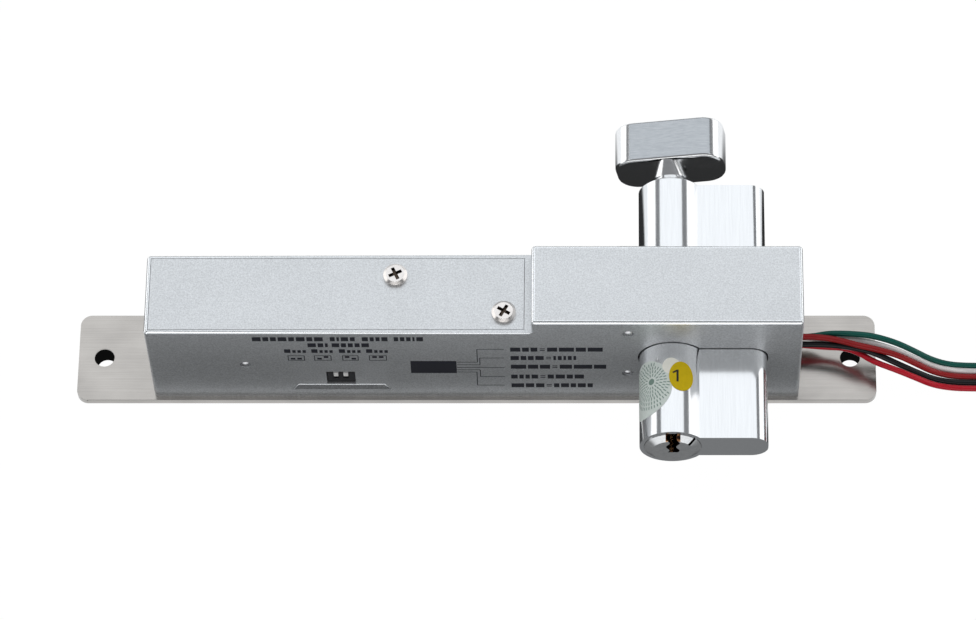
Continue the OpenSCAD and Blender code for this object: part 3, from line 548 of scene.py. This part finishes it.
def add_housing_shell(material, highlight_material):
    mesh = bmesh.new()
    mesh.from_mesh(nodes["housing"].data)
    bmesh.ops.remove_doubles(mesh, verts=mesh.verts, dist=1e-6)
    bmesh.ops.dissolve_limit(mesh, angle_limit=math.radians(0.5), verts=mesh.verts, edges=mesh.edges)
    edges = [edge for edge in mesh.edges if is_top_edge(edge)]
    for face in mesh.faces:
        face.material_index = 0
    made = bmesh.ops.bevel(mesh, geom=edges, offset=EDGE_ROUND, segments=5, profile=0.5, affect="EDGES",
                           clamp_overlap=False)
    # The rounded faces take the lighter, glossier paint: a painted highlight along the top edges
    for face in made["faces"]:
        face.material_index = 1
    for face in mesh.faces:
        face.smooth = True
    for edge in mesh.edges:
        edge.smooth = len(edge.link_faces) == 2 and edge.calc_face_angle() < SHARP_ANGLE
    shell = finish_piece("housing_shell", mesh, material)
    shell.data.materials.append(highlight_material)
    weigh = shell.modifiers.new("weigh", "WEIGHTED_NORMAL")
    weigh.keep_sharp = True
    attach(shell, "lock")
    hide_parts("housing")


# Flare of the knob's neck: places along Y and radii in millimetres
FLARE = ((37.15, 8.1), (37.6, 7.9), (38.2, 7.1), (38.9, 6.2), (39.8, 5.4), (41.0, 4.9), (42.4, 4.5), (43.7, 4.3))
FLARE_SIDES = 64


def add_neck_flare(material):
    """The smooth flare by which the neck grows out to the barrel, turned round the barrel's axis."""
    mesh = bmesh.new()
    rings = []
    for y, radius in FLARE:
        ring = []
        for i in range(FLARE_SIDES):
            a = 2.0 * math.pi * i / FLARE_SIDES
            ring.append(mesh.verts.new((BARREL_X + radius * MM * math.cos(a), y * MM,
                                        BARREL_Z + radius * MM * math.sin(a))))
        rings.append(ring)
    for a, b in zip(rings, rings[1:]):
        for i in range(FLARE_SIDES):
            n = (i + 1) % FLARE_SIDES
            mesh.faces.new((a[i], a[n], b[n], b[i])).smooth = True
    mesh.faces.new(rings[0])
    mesh.faces.new(rings[-1])
    bmesh.ops.recalc_face_normals(mesh, faces=mesh.faces)
    flare = finish_piece("neck_flare", mesh, material)
    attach(flare, "thumb_group")


# Cast bead along the foot of the window's recess, in millimetres of X, Y and Z; it wears the lighter paint of the
# housing's edges, a painted highlight
RECESS_FOOT = ((-47.8, -11.4, 6.1), (-46.35, -10.7, 7.55), (-23.85, -10.7, 7.55), (-22.4, -11.4, 6.1))
BEAD_R = 0.17 * MM


def add_recess_bead(material):
    bead = tube_piece("recess_bead", [Vector(point) * MM for point in RECESS_FOOT], BEAD_R, material)
    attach(bead, "lock")


# Return spring of the plunger, as a coil of wire over the frame's spring; in the lock it is pressed toward the
# coil as the plunger runs in
SPRING_WIRE_R = 0.3 * MM
SPRING_TURNS = 7
SPRING_STEPS = 20


def add_return_spring(material):
    low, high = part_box("return_spring")
    radius = (high.z - low.z) / 2.0 - SPRING_WIRE_R
    height = (high.z + low.z) / 2.0
    run = high.x - low.x - 2.0 * SPRING_WIRE_R
    points = []
    for i in range(SPRING_TURNS * SPRING_STEPS + 1):
        a = 2.0 * math.pi * i / SPRING_STEPS
        x = low.x + SPRING_WIRE_R + run * i / (SPRING_TURNS * SPRING_STEPS)
        points.append(Vector((x, radius * math.cos(a), height + radius * math.sin(a))))
    spring = tube_piece("spring_wire", points, SPRING_WIRE_R, material, sides=8)
    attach(spring, "lock")
    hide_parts("return_spring")
    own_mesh(spring)


# Knob: the frame's own solid, with the outline of its near and far faces rounded
KNOB_T = 12 * MM
KNOB_ROUND = 0.9 * MM


def add_knob_shell(material):
    mesh = bmesh.new()
    mesh.from_mesh(nodes["thumb_knob"].data)
    bmesh.ops.remove_doubles(mesh, verts=mesh.verts, dist=1e-6)
    bmesh.ops.dissolve_limit(mesh, angle_limit=math.radians(0.5), verts=mesh.verts, edges=mesh.edges)
    far_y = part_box("thumb_knob")[1].y
    chosen = []
    for edge in mesh.edges:
        if len(edge.link_faces) != 2 or not edge.is_convex or edge.calc_face_angle() < EDGE_ANGLE:
            continue
        for level in (far_y, far_y - KNOB_T):
            if all(abs(vert.co.y - level) < 0.01 * MM for vert in edge.verts):
                chosen.append(edge)
    bmesh.ops.bevel(mesh, geom=chosen, offset=KNOB_ROUND, segments=4, profile=0.5, affect="EDGES",
                    clamp_overlap=False)
    for face in mesh.faces:
        face.smooth = True
    for edge in mesh.edges:
        edge.smooth = len(edge.link_faces) == 2 and edge.calc_face_angle() < SHARP_ANGLE
    shell = finish_piece("knob_shell", mesh, material)
    weigh = shell.modifiers.new("weigh", "WEIGHTED_NORMAL")
    weigh.keep_sharp = True
    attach(shell, "thumb_group")
    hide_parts("thumb_knob")


def knob_metal(name):
    """Bright nickel whose two broad flats are brushed and darker."""
    material, tree, shader = new_material(name)
    place = add_node(tree, "ShaderNodeTexCoord")
    dot = add_node(tree, "ShaderNodeVectorMath", operation="DOT_PRODUCT")
    tree.links.new(place.outputs["Normal"], dot.inputs[0])
    dot.inputs[1].default_value = (0.0, 0.0, 1.0)
    size = add_node(tree, "ShaderNodeMath", operation="ABSOLUTE")
    tree.links.new(dot.outputs["Value"], size.inputs[0])
    flat = add_node(tree, "ShaderNodeMapRange")
    flat.inputs["From Min"].default_value = 0.925
    flat.inputs["From Max"].default_value = 0.945
    tree.links.new(size.outputs[0], flat.inputs["Value"])
    lines = noise(tree, (90.0, 2400.0, 2400.0), detail=3.0, rough=0.6)
    bright = ramp(tree, lines, [(0.3, grey(0.86)), (0.7, grey(0.92))])
    brushed = ramp(tree, lines, [(0.3, (0.40, 0.42, 0.44, 1.0)), (0.7, (0.48, 0.50, 0.52, 1.0))])
    mix = add_node(tree, "ShaderNodeMix", data_type="RGBA")
    tree.links.new(flat.outputs["Result"], mix.inputs["Factor"])
    tree.links.new(bright, mix.inputs[6])
    tree.links.new(brushed, mix.inputs[7])
    tree.links.new(mix.outputs[2], shader.inputs["Base Color"])
    shader.inputs["Metallic"].default_value = 1.0
    tree.links.new(spread(tree, lines, 0.12, 0.20), shader.inputs["Roughness"])
    return material


# Print on the front wall: plain bars, frames and lines, each a thin raised film
INK_PROUD = 0.02 * MM
INK_SUNK = 0.03 * MM


class Film:
    """Collects flat shapes that lie on the front wall, in millimetres of X and Z."""

    def __init__(self):
        self.mesh = bmesh.new()

    def slab(self, corners):
        near = FRONT_Y - INK_PROUD
        far = FRONT_Y + INK_SUNK
        front = [self.mesh.verts.new((x * MM, near, z * MM)) for x, z in corners]
        back = [self.mesh.verts.new((x * MM, far, z * MM)) for x, z in corners]
        self.mesh.faces.new(front)
        self.mesh.faces.new(list(reversed(back)))
        for i in range(len(corners)):
            n = (i + 1) % len(corners)
            self.mesh.faces.new((front[i], back[i], back[n], front[n]))

    def bar(self, x0, z0, x1, z1):
        self.slab([(x0, z0), (x1, z0), (x1, z1), (x0, z1)])

    def stroke(self, start, end, width):
        a = Vector((start[0], start[1]))
        b = Vector((end[0], end[1]))
        side = (b - a).orthogonal().normalized() * width / 2.0
        self.slab([tuple(a - side), tuple(b - side), tuple(b + side), tuple(a + side)])

    def outline(self, x0, z0, x1, z1, width):
        for z in (z0, z1 - width):
            self.bar(x0, z, x1, z + width)
        for x in (x0, x1 - width):
            self.bar(x, z0 + width, x + width, z1 - width)

    def row_of_blocks(self, x0, x1, z0, z1, shares):
        """A row that stands for a printed line: blocks of different widths with narrow gaps."""
        gap = 0.45
        total = sum(shares)
        room = (x1 - x0) - gap * (len(shares) - 1)
        x = x0
        for share in shares:
            width = room * share / total
            self.bar(x, z0, x + width, z1)
            x += width + gap

    def piece(self, name, material):
        bmesh.ops.recalc_face_normals(self.mesh, faces=self.mesh.faces)
        return finish_piece(name, self.mesh, material)


TITLE = (-56.9, -13.0, 33.2, 35.4)
SUBTITLE = (-42.8, -27.0, 29.9, 32.0)
LABELS = ((-49.0, -43.4), (-42.0, -36.5), (-34.9, -29.3), (-27.9, -22.3))
LABEL_Z = (26.7, 28.7)
ICONS = ((-48.3, -43.9), (-41.5, -37.0), (-34.2, -30.0), (-27.3, -22.7))
ICON_Z = (22.4, 25.2)
BLACK_FIELD = (-16.7, 15.3, -4.8, 22.1)
LEGEND_LINES = (
    ((-4.7, 21.45), (0.66, 21.45), (0.66, 28.7), (7.6, 28.7)),
    ((-4.7, 20.0), (1.3, 20.0), (1.3, 23.8), (7.6, 23.8)),
    ((-4.7, 18.45), (7.6, 18.45)),
    ((-4.7, 17.15), (1.3, 17.15), (1.3, 13.3), (7.6, 13.3)),
    ((-4.7, 15.9), (0.4, 15.9), (0.4, 8.4), (7.5, 8.4)),
)
LEGEND_ROWS = ((33.1, 28.5), (26.2, 23.8), (34.0, 18.9), (28.2, 13.3), (30.5, 8.3))
LEGEND_X = 9.25
LEGEND_HALF = 1.1


def add_print():
    ink = moulded("ink", (0.006, 0.007, 0.014), roughness=0.6, depth=0.02)
    film = Film()
    x0, x1, z0, z1 = TITLE
    film.row_of_blocks(x0, x0 + 18.2, z0, z1, (3, 2, 2, 3, 2, 3, 2, 3))
    film.row_of_blocks(x0 + 20.0, x0 + 26.4, z0, z1, (2, 1, 3, 2))
    film.row_of_blocks(x0 + 28.2, x0 + 34.8, z0, z1, (3, 2, 2, 3))
    film.row_of_blocks(x0 + 36.4, x1, z0, z1, (2, 2, 2, 1, 3))
    x0, x1, z0, z1 = SUBTITLE
    film.row_of_blocks(x0, x0 + 5.2, z0, z1, (3, 2, 1))
    film.row_of_blocks(x0 + 6.2, x1, z0, z1, (3, 2, 2, 2, 3))
    for x0, x1 in LABELS:
        film.row_of_blocks(x0, x0 + 1.6, *LABEL_Z, (1,))
        film.row_of_blocks(x0 + 2.1, x1, LABEL_Z[0], LABEL_Z[1] - 0.5, (2, 2, 2))
    for i, (x0, x1) in enumerate(ICONS):
        film.outline(x0, ICON_Z[0], x1, ICON_Z[1], 0.22)
        middle = (x0 + x1) / 2.0
        for side, raised in ((-1, i // 2), (1, i % 2)):
            low = ICON_Z[0] + 0.55 + 0.9 * raised
            centre = middle + side * 0.85
            film.bar(centre - 0.6, low, centre + 0.6, low + 0.95)
    film.bar(*BLACK_FIELD)
    for line in LEGEND_LINES:
        for start, end in zip(line, line[1:]):
            film.stroke(start, end, 0.22)
    for i, (end, z) in enumerate(LEGEND_ROWS):
        word = LEGEND_X + 7.0 + (i % 3) * 1.6
        film.row_of_blocks(LEGEND_X, word, z - LEGEND_HALF, z + LEGEND_HALF, (3, 2, 2, 3)[: 3 + i % 2])
        film.bar(word + 0.6, z - 0.65, word + 1.9, z - 0.25)
        film.bar(word + 0.6, z + 0.25, word + 1.9, z + 0.65)
        film.row_of_blocks(word + 2.5, end, z - LEGEND_HALF, z + LEGEND_HALF, (2, 3, 2, 3, 2)[: 3 + (i + 1) % 3])
    printed = film.piece("front_print", ink)
    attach(printed, "lock")


# Labels on the barrel, wrapped round it
def on_barrel(turn, y, lift):
    """A point over the barrel: turn in radians from straight up, toward +X."""
    radius = BARREL_R + lift
    return Vector((BARREL_X + radius * math.sin(turn), y, BARREL_Z + radius * math.cos(turn)))


def wrapped_disc(mesh, turn, y, radius, lift, rings=10, steps=40, squash=1.0):
    """A thin disc laid round the barrel, its middle at a turn and a place along Y."""
    layers = []
    for j in range(1, rings + 1):
        size = radius * j / rings
        ring = []
        for i in range(steps):
            a = 2.0 * math.pi * i / steps
            across = size * math.cos(a) * squash / BARREL_R
            ring.append(mesh.verts.new(on_barrel(turn + across, y + size * math.sin(a), lift)))
        layers.append(ring)
    centre = mesh.verts.new(on_barrel(turn, y, lift))
    first = layers[0]
    for i in range(steps):
        mesh.faces.new((centre, first[i], first[(i + 1) % steps])).smooth = True
    for a, b in zip(layers, layers[1:]):
        for i in range(steps):
            n = (i + 1) % steps
            mesh.faces.new((a[i], b[i], b[n], a[n])).smooth = True


def wrapped_patch(mesh, turn, y, width, length, lift, tilt=0.0, steps=4):
    """A small rectangle laid round the barrel, turned by tilt."""
    grid = []
    for j in range(steps + 1):
        row = []
        for i in range(steps + 1):
            u = width * (i / steps - 0.5)
            v = length * (j / steps - 0.5)
            across = u * math.cos(tilt) - v * math.sin(tilt)
            along = u * math.sin(tilt) + v * math.cos(tilt)
            row.append(mesh.verts.new(on_barrel(turn + across / BARREL_R, y + along, lift)))
        grid.append(row)
    for a, b in zip(grid, grid[1:]):
        for i in range(steps):
            mesh.faces.new((a[i], a[i + 1], b[i + 1], b[i])).smooth = True


def outward(mesh):
    """Turns every face so that it looks away from the barrel's axis."""
    for face in mesh.faces:
        face.normal_update()
        centre = face.calc_center_median()
        away = Vector((centre.x - BARREL_X, 0.0, centre.z - BARREL_Z))
        if face.normal.dot(away) < 0.0:
            face.normal_flip()


SEAL_TURN = math.radians(-55.0)
SEAL_Y = -23.5 * MM
SEAL_R = 8.05 * MM
RAYS_TURN = math.radians(-39.4)
RAYS_Y = -21.84 * MM
RAY_RINGS = ((1.9, 14, 0.8), (2.9, 22, 0.8), (3.9, 30, 0.8), (4.9, 36, 0.9), (6.1, 44, 0.8), (7.3, 52, 0.8))
DOT_TURN = math.radians(15.5)
DOT_Y = -21.0 * MM
DOT_R = 4.18 * MM
DOT_SQUASH = 0.78
PATCH_TURN = math.radians(-2.4)
PATCH_Y = -18.1 * MM
PATCH_R = 2.3 * MM
NUMERAL_TURN = math.radians(8.3)
NUMERAL_Y = -20.95 * MM


def add_labels():
    seal_paper = paper("seal_paper", (0.76, 0.82, 0.77))
    seal_ink = paper("seal_ink", (0.22, 0.32, 0.27))
    yellow = paper("dot_paper", (0.70, 0.50, 0.0), 0.6)
    dark = paper("dot_ink", (0.03, 0.028, 0.02))
    white = paper("white_paper", (0.96, 0.94, 0.84))

    seal = bmesh.new()
    wrapped_disc(seal, SEAL_TURN, SEAL_Y, SEAL_R, 0.05 * MM)
    outward(seal)
    seal_piece = finish_piece("round_seal", seal, seal_paper)

    marks = bmesh.new()
    for reach, count, length in RAY_RINGS:
        for i in range(count):
            a = 2.0 * math.pi * i / count
            turn = RAYS_TURN + reach * MM * math.cos(a) / BARREL_R
            y = RAYS_Y + reach * MM * math.sin(a)
            if math.hypot((turn - SEAL_TURN) * BARREL_R, y - SEAL_Y) > SEAL_R - 0.7 * MM:
                continue
            wrapped_patch(marks, turn, y, 0.26 * MM, length * MM, 0.07 * MM, tilt=a + math.pi / 2.0, steps=1)
    wrapped_disc(marks, RAYS_TURN, RAYS_Y, 0.9 * MM, 0.07 * MM, rings=2, steps=12)
    outward(marks)
    marks_piece = finish_piece("seal_marks", marks, seal_ink)

    patch = bmesh.new()
    wrapped_disc(patch, PATCH_TURN, PATCH_Y, PATCH_R, 0.08 * MM, rings=4, steps=28)
    outward(patch)
    patch_piece = finish_piece("white_label", patch, white)

    dot = bmesh.new()
    wrapped_disc(dot, DOT_TURN, DOT_Y, DOT_R, 0.11 * MM, squash=DOT_SQUASH)
    outward(dot)
    dot_piece = finish_piece("yellow_dot", dot, yellow)

    stroke = bmesh.new()
    wrapped_patch(stroke, NUMERAL_TURN, NUMERAL_Y, 0.55 * MM, 3.4 * MM, 0.13 * MM)
    wrapped_patch(stroke, NUMERAL_TURN - 0.075, NUMERAL_Y + 1.15 * MM, 0.45 * MM, 1.3 * MM, 0.13 * MM,
                  tilt=math.radians(-58.0))
    outward(stroke)
    stroke_piece = finish_piece("dot_stroke", stroke, dark)
    for piece in (seal_piece, marks_piece, patch_piece, dot_piece, stroke_piece):
        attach(piece, "lock")


# Materials of the frame's nodes
PAINT_TINT = (0.965, 0.985, 1.0)


def dress_nodes():
    paint = silver_paint("silver_paint", PAINT_TINT, 0.74)
    # A lighter, glossier copy of the paint for the housing's rounded edges and the recess bead: a painted
    # highlight
    highlight_paint = silver_paint("highlight_paint", PAINT_TINT, 0.95, 0.18, 0.26)
    nickel = satin_metal("satin_nickel", (0.87, 0.88, 0.89), 0.10, 0.17)
    knob = knob_metal("knob_nickel")
    steel = satin_metal("steel", (0.62, 0.62, 0.63), 0.25, 0.38)
    screw = screw_metal("screw_nickel", (0.84, 0.80, 0.77))
    brass = satin_metal("brass", (0.80, 0.60, 0.28), 0.22, 0.34)
    copper = satin_metal("copper_wire", (0.72, 0.34, 0.16), 0.24, 0.36, grain=(3600.0, 60.0, 60.0), depth=0.4)
    black = moulded("black_plastic", (0.015, 0.015, 0.017))
    board = moulded("board_green", (0.02, 0.16, 0.07), roughness=0.35)
    slider = moulded("slider_white", (0.86, 0.86, 0.84), roughness=0.35)
    rubber = moulded("rubber", (0.02, 0.02, 0.02), roughness=0.6)
    relay = moulded("relay_blue", (0.03, 0.08, 0.28), roughness=0.35)
    loom = wire_plastic("loom_skin", (0.30, 0.03, 0.02))
    wear = {
        paint: ("lid",),
        nickel: ("cylinder_body", "thumb_shaft"),
        screw: ("lid_screws", "plate_screws", "cylinder_screw", "lifter_screw"),
        steel: ("driver_pins", "pin_springs", "plug_clip", "shaft_clip", "cam", "bolt", "drive_pin",
                "bolt_lifter", "crank", "crank_pin", "plunger", "plunger_pin", "tail_clip", "yoke",
                "board_pin", "sensor_pins"),
        brass: ("key_pins", "clutch", "bolt_bush"),
        copper: ("coil",),
        black: ("bobbin", "capacitor", "chip", "dip_body", "sensor", "coil_tie"),
        board: ("main_board", "sensor_board"),
        slider: ("dip_slider_1", "dip_slider_2"),
        rubber: ("grommet",),
        relay: ("relay",),
        loom: ("wire_loom",),
        brushed_plate("brushed_plate"): ("faceplate",),
        key_plug_metal("plug_nickel"): ("key_plug",),
    }
    for material, names in wear.items():
        for name in names:
            dress(name, material)
    add_housing_shell(paint, highlight_paint)
    add_recess_bead(highlight_paint)
    add_neck_flare(nickel)
    add_knob_shell(knob)
    add_return_spring(steel)


def soften_nodes():
    soften("faceplate", 0.25 * MM)
    soften("lid", 0.05 * MM)
    soften("cylinder_body", 0.2 * MM)


# Stage: floor, world and lamps
FLOOR_SIZE = 6.0
MOUNT_X = 98.25 * MM
HOLE_R = 2.65 * MM
SINK_R = 4.6 * MM
# Painted shade under each mounting hole, and the shift of a painted lit spot within it
PAINTED_SPOT_SHIFT = {-1: (0.7 * MM, -2.3 * MM), 1: (0.0, -2.3 * MM)}


# The floor as metal mirrors it, by its place along Y in millimetres: painted shade close to the lock, and a
# painted bright band from just in front of the faceplate to under it
MIRRORED_FLOOR = ((-90.0, 1.0), (-70.0, 0.21), (-40.0, 0.21), (-32.0, 0.07), (-14.4, 0.07), (-13.8, 0.9),
                  (10.0, 0.9), (13.0, 0.03), (60.0, 0.03), (76.0, 1.0))


def floor_in_metal(tree, place):
    """The brightness of the floor in a reflection, between its first and last place along Y."""
    first = MIRRORED_FLOOR[0][0]
    last = MIRRORED_FLOOR[-1][0]
    parts = add_node(tree, "ShaderNodeSeparateXYZ")
    tree.links.new(place, parts.inputs["Vector"])
    share = add_node(tree, "ShaderNodeMapRange")
    share.inputs["From Min"].default_value = first * MM
    share.inputs["From Max"].default_value = last * MM
    tree.links.new(parts.outputs["Y"], share.inputs["Value"])
    stops = [((y - first) / (last - first), grey(value, (0.95, 0.975, 1.0))) for y, value in MIRRORED_FLOOR]
    return ramp(tree, share.outputs["Result"], stops)


def add_floor():
    """A white floor that keeps a faint shadow, with a painted deep shade under each of the two mounting holes and
    a painted lit spot in it.
    """
    data = bpy.data.meshes.new("floor")
    half = FLOOR_SIZE / 2.0
    data.from_pydata([(-half, -half, 0.0), (half, -half, 0.0), (half, half, 0.0), (-half, half, 0.0)], [],
                     [(0, 1, 2, 3)])
    floor = bpy.data.objects.new("floor", data)
    floor.location.z = -0.0002
    bpy.context.scene.collection.objects.link(floor)
    material, tree, shader = new_material("floor_white")
    tree.nodes.remove(shader)
    place = add_node(tree, "ShaderNodeTexCoord")

    def near(x, y, radius):
        gap = add_node(tree, "ShaderNodeVectorMath", operation="DISTANCE")
        tree.links.new(place.outputs["Object"], gap.inputs[0])
        gap.inputs[1].default_value = (x, y, 0.0)
        less = add_node(tree, "ShaderNodeMath", operation="LESS_THAN")
        tree.links.new(gap.outputs["Value"], less.inputs[0])
        less.inputs[1].default_value = radius
        return less.outputs[0]

    def join(a, b, operation):
        node = add_node(tree, "ShaderNodeMath", operation=operation)
        tree.links.new(a, node.inputs[0])
        tree.links.new(b, node.inputs[1])
        node.use_clamp = True
        return node.outputs[0]

    # Painted shade under each mounting hole, less a painted lit spot shifted toward the key side
    shades = []
    for side, (shift_x, shift_y) in PAINTED_SPOT_SHIFT.items():
        under = near(side * MOUNT_X, 0.0, SINK_R)
        painted_lit_spot = near(side * MOUNT_X + shift_x, shift_y, HOLE_R)
        shades.append(join(under, painted_lit_spot, "SUBTRACT"))
    shade = join(shades[0], shades[1], "MAXIMUM")
    colour = ramp(tree, shade, [(0.0, grey(1.0)), (1.0, grey(0.004))])
    glow = add_node(tree, "ShaderNodeEmission", Strength=1.02)
    tree.links.new(colour, glow.inputs["Color"])
    matte = add_node(tree, "ShaderNodeBsdfDiffuse")
    tree.links.new(colour, matte.inputs["Color"])
    seen = add_node(tree, "ShaderNodeMixShader", Fac=0.03)
    tree.links.new(glow.outputs[0], seen.inputs[1])
    tree.links.new(matte.outputs[0], seen.inputs[2])
    grey_floor = add_node(tree, "ShaderNodeBsdfDiffuse", Color=grey(0.2))
    mirrored = add_node(tree, "ShaderNodeEmission", Strength=1.0)
    tree.links.new(floor_in_metal(tree, place.outputs["Object"]), mirrored.inputs["Color"])
    path = add_node(tree, "ShaderNodeLightPath")
    shiny = join(path.outputs["Is Glossy Ray"], path.outputs["Is Transmission Ray"], "MAXIMUM")
    unseen = add_node(tree, "ShaderNodeMixShader")
    tree.links.new(shiny, unseen.inputs[0])
    tree.links.new(grey_floor.outputs[0], unseen.inputs[1])
    tree.links.new(mirrored.outputs[0], unseen.inputs[2])
    choose = add_node(tree, "ShaderNodeMixShader")
    tree.links.new(path.outputs["Is Camera Ray"], choose.inputs[0])
    tree.links.new(unseen.outputs[0], choose.inputs[1])
    tree.links.new(seen.outputs[0], choose.inputs[2])
    tree.links.new(choose.outputs[0], tree.nodes["Material Output"].inputs["Surface"])
    data.materials.append(material)


def add_world():
    """White where the camera sees it, and a soft grey room for everything else."""
    world = bpy.data.worlds.new("studio")
    world.use_nodes = True
    tree = world.node_tree
    room = tree.nodes["Background"]
    room.inputs["Color"].default_value = (0.93, 0.96, 1.0, 1.0)
    room.inputs["Strength"].default_value = 0.24
    white = add_node(tree, "ShaderNodeBackground", Strength=1.0)
    path = add_node(tree, "ShaderNodeLightPath")
    mix = add_node(tree, "ShaderNodeMixShader")
    tree.links.new(path.outputs["Is Camera Ray"], mix.inputs[0])
    tree.links.new(room.outputs[0], mix.inputs[1])
    tree.links.new(white.outputs[0], mix.inputs[2])
    tree.links.new(mix.outputs[0], tree.nodes["World Output"].inputs["Surface"])
    bpy.context.scene.world = world


def add_panel(name, centre, across, upward, width, height, radiance, tint=(1.0, 1.0, 1.0)):
    """A softbox from its middle and its two sides; it shines away from across x upward."""
    data = bpy.data.lights.new(name, "AREA")
    data.shape = "RECTANGLE"
    data.size = width
    data.size_y = height
    data.energy = math.pi * width * height * radiance
    data.color = tint
    lamp = bpy.data.objects.new(name, data)
    across = Vector(across)
    upward = Vector(upward)
    turn = Matrix((across, upward, across.cross(upward))).transposed()
    lamp.matrix_world = Matrix.Translation(centre) @ turn.to_4x4()
    lamp.visible_camera = False
    bpy.context.scene.collection.objects.link(lamp)


FRONT_RISE = math.radians(20.0)
FRONT_FAR = 1.5


def add_lamps():
    """One wide box over the lock and one on each side, with narrow dark gaps between, and one in front."""
    add_panel("top_box", (0.0, 1.125, 1.2), (1, 0, 0), (0, 1, 0), 1.98, 2.15, 0.90, (0.94, 0.97, 1.0))
    add_panel("left_box", (-1.1, 0.6, 0.374), (0, -1, 0), (0, 0, 1), 2.0, 0.747, 1.1)
    add_panel("right_box", (1.2, 0.6, 0.374), (0, 1, 0), (0, 0, 1), 2.0, 0.747, 1.1)
    rise = (0.0, math.sin(FRONT_RISE), math.cos(FRONT_RISE))
    place = (0.0, -FRONT_FAR * math.cos(FRONT_RISE), FRONT_FAR * math.sin(FRONT_RISE))
    add_panel("front_box", place, (1, 0, 0), rise, 2.6, 1.0, 1.3)


add_camera()
add_wires()
dress_nodes()
soften_nodes()
add_print()
add_labels()
add_floor()
add_world()
add_lamps()
bpy.context.scene.view_settings.view_transform = "Standard"
